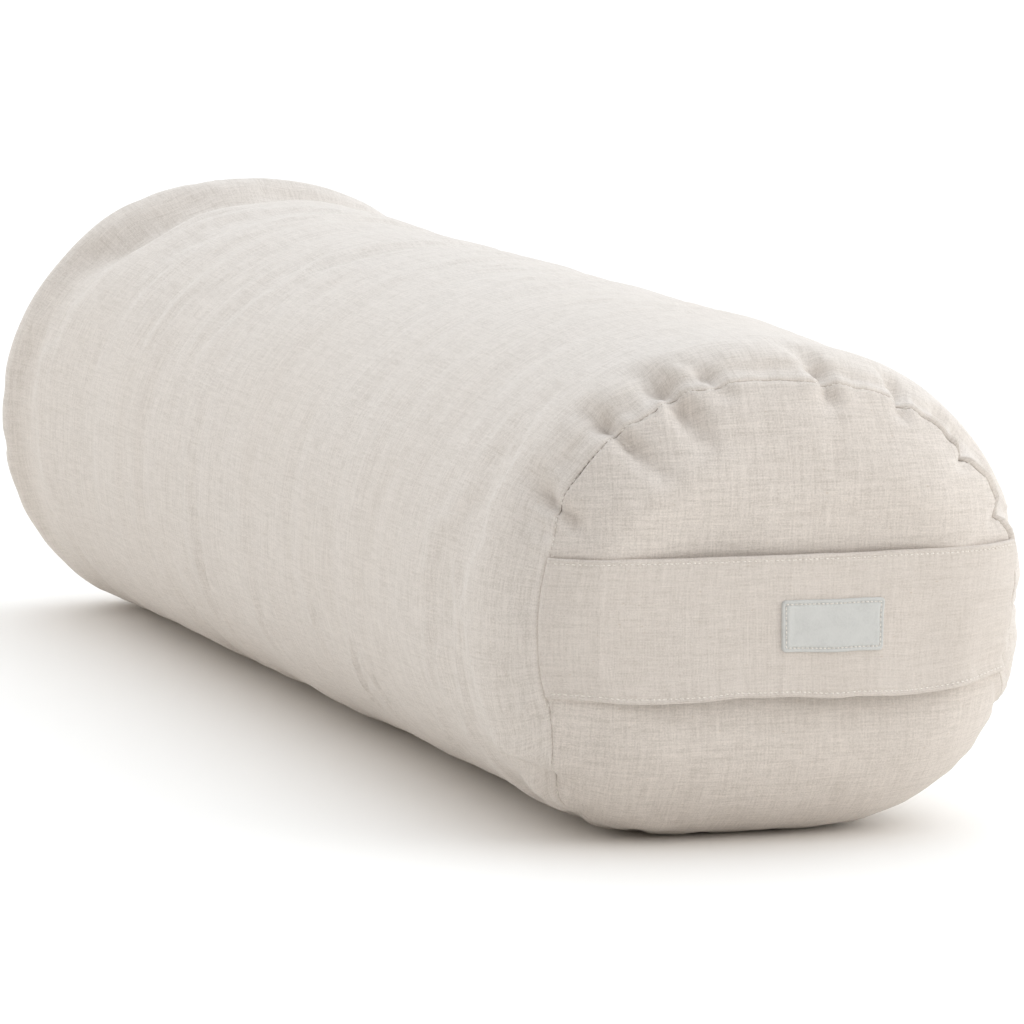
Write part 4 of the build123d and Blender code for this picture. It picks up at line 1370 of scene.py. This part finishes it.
label = build_label()
label_thread = build_label_stitches()


# ------------------------------------------------------------ materials
class Tree:
    """Short names for building a node tree."""

    def __init__(self, name):
        self.mat = bpy.data.materials.new(name)
        self.mat.use_nodes = True
        self.nt = self.mat.node_tree
        self.bsdf = self.nt.nodes["Principled BSDF"]

    def node(self, kind, **inputs):
        n = self.nt.nodes.new(kind)
        for k, v in inputs.items():
            self.put(n.inputs[k.replace("_", " ")], v)
        return n

    def put(self, socket, v):
        if isinstance(v, bpy.types.NodeSocket):
            self.nt.links.new(v, socket)
        else:
            socket.default_value = v

    def math(self, op, a, b=0.0, c=0.0, clamp=False):
        n = self.nt.nodes.new("ShaderNodeMath")
        n.operation, n.use_clamp = op, clamp
        for i, v in enumerate((a, b, c)):
            self.put(n.inputs[i], v)
        return n.outputs[0]

    def uv(self):
        n = self.nt.nodes.new("ShaderNodeUVMap")
        n.uv_map = "UVMap"
        return n.outputs["UV"]

    def scaled(self, vec, sx, sy, sz=1.0, turn=0.0):
        n = self.nt.nodes.new("ShaderNodeMapping")
        n.inputs["Scale"].default_value = (sx, sy, sz)
        n.inputs["Rotation"].default_value = (0, 0, turn)
        self.nt.links.new(vec, n.inputs["Vector"])
        return n.outputs["Vector"]

    def noise(self, vec, scale, detail=2.0, rough=0.5, dims="3D"):
        n = self.nt.nodes.new("ShaderNodeTexNoise")
        n.noise_dimensions = dims
        n.inputs["Scale"].default_value = scale
        n.inputs["Detail"].default_value = detail
        n.inputs["Roughness"].default_value = rough
        self.nt.links.new(vec, n.inputs["Vector"])
        return n.outputs["Fac"]

    def ramp(self, fac, stops):
        n = self.nt.nodes.new("ShaderNodeValToRGB")
        while len(n.color_ramp.elements) < len(stops):
            n.color_ramp.elements.new(0.5)
        for e, (at, rgb) in zip(n.color_ramp.elements, stops):
            e.position = at
            e.color = tuple(rgb) + (1,) if len(rgb) == 3 else rgb
        self.put(n.inputs["Fac"], fac)
        return n.outputs["Color"]

    def mix(self, fac, a, b, mode="MIX"):
        n = self.nt.nodes.new("ShaderNodeMix")
        n.data_type, n.blend_type = "RGBA", mode
        self.put(n.inputs["Factor"], fac)
        self.put(n.inputs[6], a)
        self.put(n.inputs[7], b)
        return n.outputs[2]

    def bump(self, height, strength, distance, normal=None):
        n = self.nt.nodes.new("ShaderNodeBump")
        n.inputs["Strength"].default_value = strength
        n.inputs["Distance"].default_value = distance
        self.nt.links.new(height, n.inputs["Height"])
        if normal is not None:
            self.nt.links.new(normal, n.inputs["Normal"])
        return n.outputs["Normal"]


def rgba(c):
    return (c[0], c[1], c[2], 1.0)


def linen(name, colour, pale, dark, slub=1.0, sheen=0.25, pitch=0.00062, seed=0.0):
    """Plain-weave linen: uneven threads both ways, slubs, and a thread-to-thread change of shade."""
    t = Tree(name)
    uv = t.uv()
    sep = t.node("ShaderNodeSeparateXYZ", Vector=uv)
    # threads wander a little
    wob = t.noise(t.scaled(uv, 90, 90, 1), 1.0, 2.0)
    wx = t.math("ADD", sep.outputs[0], t.math("MULTIPLY", t.math("SUBTRACT", wob, 0.5), 0.0009))
    wob2 = t.noise(t.scaled(uv, 80, 80, 1, 0.6), 1.0, 2.0)
    wy = t.math("ADD", sep.outputs[1], t.math("MULTIPLY", t.math("SUBTRACT", wob2, 0.5), 0.0009))
    px, py = t.math("MULTIPLY", wx, math.pi / pitch), t.math("MULTIPLY", wy, math.pi / pitch)
    over = t.math("MULTIPLY_ADD", t.math("MULTIPLY", t.math("SINE", px), t.math("SINE", py)), 0.5, 0.5)
    warp = t.math("ABSOLUTE", t.math("SINE", px))
    weft = t.math("ABSOLUTE", t.math("SINE", py))
    weave = t.math("ADD", t.math("MULTIPLY", warp, over), t.math("MULTIPLY", weft, t.math("SUBTRACT", 1.0, over)))
    # slubs: long thin noise along each thread direction, and single threads that are paler or darker than their neighbours
    s1 = t.noise(t.scaled(uv, 1 / 0.0008, 1 / 0.009, 1), 1.0, 2.0, 0.65)
    s2 = t.noise(t.scaled(uv, 1 / 0.010, 1 / 0.0008, 1), 1.0, 2.0, 0.65)
    s3 = t.noise(t.scaled(uv, 1 / 0.0019, 1 / 0.04, 1), 1.0, 1.0, 0.5)
    s4 = t.noise(t.scaled(uv, 1 / 0.036, 1 / 0.0021, 1), 1.0, 1.0, 0.5)
    thread = t.math("ADD", t.math("MULTIPLY", s1, 0.32), t.math("MULTIPLY", s2, 0.36))
    thread = t.math("ADD", thread, t.math("ADD", t.math("MULTIPLY", s3, 0.15), t.math("MULTIPLY", s4, 0.17)))
    fine = t.noise(t.scaled(uv, 1 / 0.0008, 1 / 0.0008, 1), 1.0, 3.0, 0.9)
    tone = t.math("ADD", t.math("MULTIPLY", thread, 0.56), t.math("MULTIPLY", fine, 0.44))
    spread = 0.105 / slub
    shade = t.ramp(tone, [(0.5 - spread, dark), (0.5, colour), (0.5 + spread, pale)])
    # painted shade: the gaps between threads, where the weave lies lowest, are darkened
    gap_shade = t.math("MULTIPLY", t.math("SUBTRACT", 1.0, weave), 0.16)
    shade = t.mix(t.math("MULTIPLY", gap_shade, 1.0, clamp=True), shade, rgba(tuple(c * 0.62 for c in dark)))
    # handling marks, wide and faint
    co = t.node("ShaderNodeTexCoord")
    wide = t.noise(co.outputs["Object"], 9.0, 3.0, 0.55)
    shade = t.mix(t.math("MULTIPLY", t.math("SUBTRACT", wide, 0.42, clamp=True), 0.55, clamp=True), shade, rgba(tuple(c * f for c, f in zip(colour, (0.94, 0.90, 0.85)))))
    # a rare tan fibre caught in the yarn
    speck = t.noise(t.scaled(uv, 1 / 0.0022, 1 / 0.0011, 1, 0.2), 1.0, 0.0)
    shade = t.mix(t.math("MULTIPLY", t.math("GREATER_THAN", speck, 0.835), 0.28), shade, rgba((0.42, 0.30, 0.19)))
    t.put(t.bsdf.inputs["Base Color"], shade)
    rough = t.math("MULTIPLY_ADD", thread, -0.12, 0.93)
    t.put(t.bsdf.inputs["Roughness"], rough)
    height = t.math("ADD", t.math("MULTIPLY", weave, 0.55), t.math("MULTIPLY", thread, 1.3 * slub))
    n1 = t.bump(height, 0.55, 0.00022)
    t.put(t.bsdf.inputs["Normal"], n1)
    t.bsdf.inputs["Sheen Weight"].default_value = sheen
    t.bsdf.inputs["Sheen Roughness"].default_value = 0.55
    t.bsdf.inputs["Sheen Tint"].default_value = (1.0, 0.98, 0.95, 1)
    t.bsdf.inputs["Specular IOR Level"].default_value = 0.25
    return t.mat


def calico(name, colour):
    t = Tree(name)
    uv = t.uv()
    sep = t.node("ShaderNodeSeparateXYZ", Vector=uv)
    px, py = t.math("MULTIPLY", sep.outputs[0], math.pi / 0.0004), t.math("MULTIPLY", sep.outputs[1], math.pi / 0.0004)
    weave = t.math("MULTIPLY_ADD", t.math("MULTIPLY", t.math("SINE", px), t.math("SINE", py)), 0.5, 0.5)
    seeds = t.noise(t.scaled(uv, 700, 700, 1), 1.0, 2.0, 0.7)
    lines = t.noise(t.scaled(uv, 900, 60, 1), 1.0, 2.0)
    shade = t.ramp(t.math("ADD", t.math("MULTIPLY", seeds, 0.5), t.math("MULTIPLY", lines, 0.5)),
                   [(0.36, tuple(c * 0.90 for c in colour)), (0.5, colour), (0.66, tuple(min(1, c * 1.06) for c in colour))])
    shade = t.mix(t.math("MULTIPLY", t.math("GREATER_THAN", seeds, 0.72), 0.5), shade, rgba((0.40, 0.29, 0.17)))
    t.put(t.bsdf.inputs["Base Color"], shade)
    t.bsdf.inputs["Roughness"].default_value = 0.92
    t.put(t.bsdf.inputs["Normal"], t.bump(t.math("ADD", weave, lines), 0.4, 0.00012))
    t.bsdf.inputs["Sheen Weight"].default_value = 0.1
    t.bsdf.inputs["Specular IOR Level"].default_value = 0.2
    return t.mat


def fibres(name, colour):
    """Packed fibre: tangled fine strands."""
    t = Tree(name)
    co = t.node("ShaderNodeTexCoord").outputs["Object"]
    wave = t.node("ShaderNodeTexVoronoi")
    wave.feature = "SMOOTH_F1"
    t.nt.links.new(co, wave.inputs["Vector"])
    wave.inputs["Scale"].default_value = 90
    strands = t.noise(t.scaled(co, 260, 60, 260, 0.5), 1.0, 4.0, 0.7)
    strands2 = t.noise(t.scaled(co, 60, 240, 300, -0.8), 1.0, 4.0, 0.7)
    h = t.math("ADD", t.math("MULTIPLY", strands, 0.5), t.math("ADD", t.math("MULTIPLY", strands2, 0.5), t.math("MULTIPLY", wave.outputs["Distance"], 0.4)))
    t.put(t.bsdf.inputs["Base Color"], t.ramp(h, [(0.35, tuple(c * 0.82 for c in colour)), (0.75, colour)]))
    t.bsdf.inputs["Roughness"].default_value = 0.95
    t.put(t.bsdf.inputs["Normal"], t.bump(h, 0.8, 0.0012))
    t.bsdf.inputs["Sheen Weight"].default_value = 0.3
    return t.mat


def thread_mat(name, colour):
    t = Tree(name)
    co = t.node("ShaderNodeTexCoord").outputs["Object"]
    ply = t.node("ShaderNodeTexWave")
    ply.bands_direction = "DIAGONAL"
    t.nt.links.new(co, ply.inputs["Vector"])
    ply.inputs["Scale"].default_value = 420
    ply.inputs["Distortion"].default_value = 1.5
    fuzz = t.noise(co, 2600.0, 2.0)
    m = t.math("ADD", t.math("MULTIPLY", ply.outputs["Fac"], 0.6), t.math("MULTIPLY", fuzz, 0.4))
    t.put(t.bsdf.inputs["Base Color"], t.ramp(m, [(0.2, tuple(c * 0.80 for c in colour)), (0.8, tuple(min(1, c * 1.08) for c in colour))]))
    t.bsdf.inputs["Roughness"].default_value = 0.7
    t.put(t.bsdf.inputs["Normal"], t.bump(m, 0.4, 0.00008))
    t.bsdf.inputs["Sheen Weight"].default_value = 0.15
    return t.mat


def suede(name, colour):
    t = Tree(name)
    uv = t.uv()
    nap = t.noise(t.scaled(uv, 1500, 1100, 1), 1.0, 4.0, 0.7)
    drift = t.noise(t.scaled(uv, 120, 160, 1, 0.3), 1.0, 3.0, 0.6)
    m = t.math("ADD", t.math("MULTIPLY", nap, 0.5), t.math("MULTIPLY", drift, 0.5))
    t.put(t.bsdf.inputs["Base Color"], t.ramp(m, [(0.34, tuple(c * 0.90 for c in colour)), (0.5, colour), (0.66, tuple(min(1, c * 1.05) for c in colour))]))
    t.put(t.bsdf.inputs["Roughness"], t.math("MULTIPLY_ADD", nap, 0.12, 0.82))
    t.put(t.bsdf.inputs["Normal"], t.bump(nap, 0.35, 0.00010))
    t.bsdf.inputs["Sheen Weight"].default_value = 0.35
    t.bsdf.inputs["Sheen Roughness"].default_value = 0.4
    t.bsdf.inputs["Specular IOR Level"].default_value = 0.2
    return t.mat


def felt(name, colour):
    t = Tree(name)
    co = t.node("ShaderNodeTexCoord").outputs["Object"]
    f = t.noise(co, 1400.0, 5.0, 0.75)
    t.put(t.bsdf.inputs["Base Color"], t.ramp(f, [(0.35, tuple(c * 0.88 for c in colour)), (0.65, colour)]))
    t.bsdf.inputs["Roughness"].default_value = 0.9
    t.put(t.bsdf.inputs["Normal"], t.bump(f, 0.3, 0.0001))
    return t.mat


def tape_mat(name, colour):
    """Herringbone zip tape."""
    t = Tree(name)
    uv = t.uv()
    sep = t.node("ShaderNodeSeparateXYZ", Vector=uv)
    zig = t.math("PINGPONG", sep.outputs[1], 0.0016)
    d = t.math("MULTIPLY", t.math("ADD", sep.outputs[0], zig), 2 * math.pi / 0.0009)
    rib = t.math("MULTIPLY_ADD", t.math("SINE", d), 0.5, 0.5)
    fine = t.noise(t.scaled(uv, 1800, 1800, 1), 1.0, 2.0)
    m = t.math("ADD", t.math("MULTIPLY", rib, 0.6), t.math("MULTIPLY", fine, 0.4))
    t.put(t.bsdf.inputs["Base Color"], t.ramp(m, [(0.2, tuple(c * 0.78 for c in colour)), (0.8, tuple(min(1, c * 1.05) for c in colour))]))
    t.bsdf.inputs["Roughness"].default_value = 0.85
    t.put(t.bsdf.inputs["Normal"], t.bump(rib, 0.5, 0.00012))
    t.bsdf.inputs["Sheen Weight"].default_value = 0.1
    return t.mat


def nylon(name, colour):
    t = Tree(name)
    co = t.node("ShaderNodeTexCoord").outputs["Object"]
    n = t.noise(co, 900.0, 2.0)
    t.put(t.bsdf.inputs["Base Color"], t.ramp(n, [(0.3, tuple(c * 0.93 for c in colour)), (0.7, tuple(min(1, c * 1.04) for c in colour))]))
    t.put(t.bsdf.inputs["Roughness"], t.math("MULTIPLY_ADD", n, 0.12, 0.36))
    return t.mat


def cast_metal(name, colour):
    """Plated zinc: fine tumbling marks, a little duller where it is worn."""
    t = Tree(name)
    co = t.node("ShaderNodeTexCoord").outputs["Object"]
    marks = t.noise(t.scaled(co, 900, 2600, 900, 0.2), 1.0, 3.0, 0.6)
    wear = t.noise(co, 420.0, 3.0, 0.6)
    t.put(t.bsdf.inputs["Base Color"], t.ramp(wear, [(0.35, tuple(c * 0.86 for c in colour)), (0.6, colour)]))
    t.bsdf.inputs["Metallic"].default_value = 1.0
    t.put(t.bsdf.inputs["Roughness"], t.math("ADD", t.math("MULTIPLY", marks, 0.16), t.math("MULTIPLY_ADD", wear, 0.14, 0.20)))
    t.put(t.bsdf.inputs["Normal"], t.bump(marks, 0.12, 0.00004))
    return t.mat


def floor_paint(name):
    t = Tree(name)
    co = t.node("ShaderNodeTexCoord").outputs["Object"]
    n = t.noise(co, 3.0, 3.0)
    t.put(t.bsdf.inputs["Base Color"], t.ramp(n, [(0.3, (0.930, 0.905, 0.872)), (0.7, (0.945, 0.92, 0.885))]))
    t.bsdf.inputs["Roughness"].default_value = 0.95
    t.bsdf.inputs["Specular IOR Level"].default_value = 0.1
    return t.mat


BODY = (0.662, 0.606, 0.554)
# END is the body's linen made darker and warmer: painted shade on the end panels, standing in for the dimmer, warmer
# light that falls on them
END = (0.644, 0.584, 0.530)
STRAP_C = (0.630, 0.571, 0.518)


def tones(c, lo=0.86, hi=1.11):
    return tuple(v * lo * f for v, f in zip(c, (1.0, 0.985, 0.965))), tuple(min(1, v * hi) for v in c)


_d, _p = tones(BODY)
MATS = {"linen_body": linen("linen_body", BODY, _p, _d, 1.6)}
# the end panels' linen: the body's cloth with painted shade, through the darker, warmer END
_d, _p = tones(END, 0.82, 1.15)
MATS["linen_end"] = linen("linen_end", END, _p, _d, 1.25)
_d, _p = tones(STRAP_C, 0.85, 1.12)
MATS["linen_handle"] = linen("linen_handle", STRAP_C, _p, _d, 1.1)
MATS["calico"] = calico("calico", (0.74, 0.69, 0.59))
MATS["fibre_fill"] = fibres("fibre_fill", (0.86, 0.84, 0.80))
MATS["interlining"] = felt("interlining", (0.82, 0.82, 0.80))
MATS["thread"] = thread_mat("thread", (0.80, 0.75, 0.685))
MATS["label_suede"] = suede("label_suede", (0.565, 0.560, 0.535))
MATS["zip_tape"] = tape_mat("zip_tape", (0.62, 0.565, 0.49))
MATS["zip_coil"] = nylon("zip_coil", (0.62, 0.565, 0.49))
MATS["zip_metal"] = cast_metal("zip_metal", (0.56, 0.555, 0.53))
floor_material = floor_paint("studio_floor")


# ------------------------------------------------------------ what each piece stands for, and what it rides on
def settle(obj, slot, nodes, body="cushion"):
    obj.data.materials.clear()
    obj.data.materials.append(MATS[slot])
    if body:
        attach(obj, body)
    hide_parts(*nodes)


settle(cover_tube, "linen_body", ["cover_tube"])
settle(cover_front, "linen_end", ["cover_front_end"])
settle(cover_rear, "linen_end", ["cover_rear_end"])
settle(liner_tube, "calico", ["liner_tube"])
settle(liner_front, "calico", ["liner_front_end"])
settle(liner_rear, "calico", ["liner_rear_end"])
settle(filling, "fibre_fill", ["filling"])
settle(front_thread, "thread", ["front_seam_thread"])
settle(rear_thread, "thread", ["rear_seam_thread"])
settle(side_thread, "thread", ["side_seam_thread"])
settle(zip_stitch_upper, "thread", ["zip_topstitch_upper"])
settle(zip_stitch_lower, "thread", ["zip_topstitch_lower"])
settle(tape_upper, "zip_tape", ["zip_tape_upper"])
settle(tape_lower, "zip_tape", ["zip_tape_lower"])
settle(coil_upper, "zip_coil", ["zip_coil_upper"])
settle(coil_lower, "zip_coil", ["zip_coil_lower"])
settle(top_stops, "zip_metal", ["zip_top_stops"])
settle(bottom_stop, "zip_metal", ["zip_bottom_stop"])
settle(slider, "zip_metal", ["zip_slider"], "zip_slider_body")
settle(pull, "zip_metal", ["zip_pull"], "zip_pull_body")

# the handle's ends stay sewn in the seam; its pieces are attached to no body and keep their baked transforms
for s in (-1, 1):
    for o, slot, node in ((handles[s], "linen_handle", "carry_handle"), (linings[s], "interlining", "handle_interlining"),
                          (strap_rows[s, True], "thread", "handle_topstitch_upper"), (strap_rows[s, False], "thread", "handle_topstitch_lower")):
        settle(o, slot, [node], None)
        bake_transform(o)
for o, slot, node in ((label, "label_suede", "label_patch"), (label_thread, "thread", "label_stitching")):
    settle(o, slot, [node], None)
    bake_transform(o)


# ------------------------------------------------------------ floor, light and camera
def camera():
    al, p, rho = math.radians(21.286), math.radians(8.461), math.radians(1.236)
    dist, tx, ty = 3.54065, 0.01288, -0.01338
    target = Vector((0, 0, 0.0978))
    fw = Vector((math.sin(al) * math.cos(p), math.cos(al) * math.cos(p), -math.sin(p)))
    r = Vector((math.cos(al), -math.sin(al), 0))
    u = r.cross(fw)
    r2 = math.cos(rho) * r + math.sin(rho) * u
    u2 = -math.sin(rho) * r + math.cos(rho) * u
    pos = target - fw * dist + r * tx + u * ty
    cam = bpy.data.cameras.new("camera")
    cam.sensor_width = 36
    cam.sensor_fit = "HORIZONTAL"
    cam.lens = 8421.4 / 1024 * 36
    cam.clip_end = 30
    obj = bpy.data.objects.new("camera", cam)
    m = Matrix((r2, u2, -fw)).transposed().to_4x4()
    m.translation = pos
    obj.matrix_world = m
    SC.collection.objects.link(obj)
    SC.camera = obj
    return obj


camera()
bpy.ops.mesh.primitive_plane_add(size=24, location=(0, 0, 0))
floor = bpy.context.object
floor.name = "studio_floor"
floor.data.materials.append(floor_material)

world = bpy.data.worlds.new("studio")
world.use_nodes = True
wt = world.node_tree
wt.nodes.clear()
way = wt.nodes.new("ShaderNodeTexCoord")
dot = wt.nodes.new("ShaderNodeVectorMath")
dot.operation = "DOT_PRODUCT"
dot.inputs[1].default_value = (0.34, 0.43, 0.0)      # the room is brighter behind and to the right
level = wt.nodes.new("ShaderNodeMath")
level.operation = "ADD"
level.inputs[1].default_value = 0.5
tone = wt.nodes.new("ShaderNodeMix")
tone.data_type = "RGBA"
dim, bright = [k for k in tone.inputs if k.type == "RGBA"]
dim.default_value = (0.415, 0.372, 0.322, 1)
bright.default_value = (1.0, 1.005, 1.0, 1)
room = wt.nodes.new("ShaderNodeBackground")
paper = wt.nodes.new("ShaderNodeBackground")
ray = wt.nodes.new("ShaderNodeLightPath")
pick = wt.nodes.new("ShaderNodeMixShader")
out = wt.nodes.new("ShaderNodeOutputWorld")
wt.links.new(way.outputs["Generated"], dot.inputs[0])
wt.links.new(dot.outputs["Value"], level.inputs[0])
wt.links.new(level.outputs[0], [k for k in tone.inputs if k.type == "VALUE"][0])
wt.links.new([k for k in tone.outputs if k.type == "RGBA"][0], room.inputs["Color"])
wt.links.new(ray.outputs["Is Camera Ray"], pick.inputs[0])
wt.links.new(room.outputs[0], pick.inputs[1])
wt.links.new(paper.outputs[0], pick.inputs[2])
wt.links.new(pick.outputs[0], out.inputs["Surface"])
SC.world = world


def sun(name, direction, strength, angle, colour):
    li = bpy.data.lights.new(name, "SUN")
    li.energy, li.angle, li.color = strength, math.radians(angle), colour
    o = bpy.data.objects.new(name, li)
    o.rotation_euler = Vector(direction).to_track_quat("-Z", "Y").to_euler()
    SC.collection.objects.link(o)
    return o


def softbox(name, at, look, size, power, colour):
    li = bpy.data.lights.new(name, "AREA")
    li.shape = "SQUARE"
    li.size, li.energy, li.color = size, power, colour
    o = bpy.data.objects.new(name, li)
    o.location = at
    o.rotation_euler = (Vector(look) - Vector(at)).to_track_quat("-Z", "Y").to_euler()
    SC.collection.objects.link(o)
    return o


sun("rear_light", (-0.51, -0.50, -0.78), 0.75, 80, (0.87, 1.0, 1.14))
sun("overhead_light", (0.0, 0.1, -1.0), 1.32, 130, (0.88, 1.0, 1.14))
softbox("right_softbox", (1.25, -0.95, 0.45), (0.05, -0.33, 0.1), 0.8, 5.8, (1.0, 0.985, 0.96))
softbox("left_softbox", (-1.5, 1.3, 0.35), (-0.1, 0.2, 0.06), 1.0, 4.2, (1.0, 0.985, 0.96))
SC.view_settings.view_transform = "Standard"
SC.view_settings.look = "None"
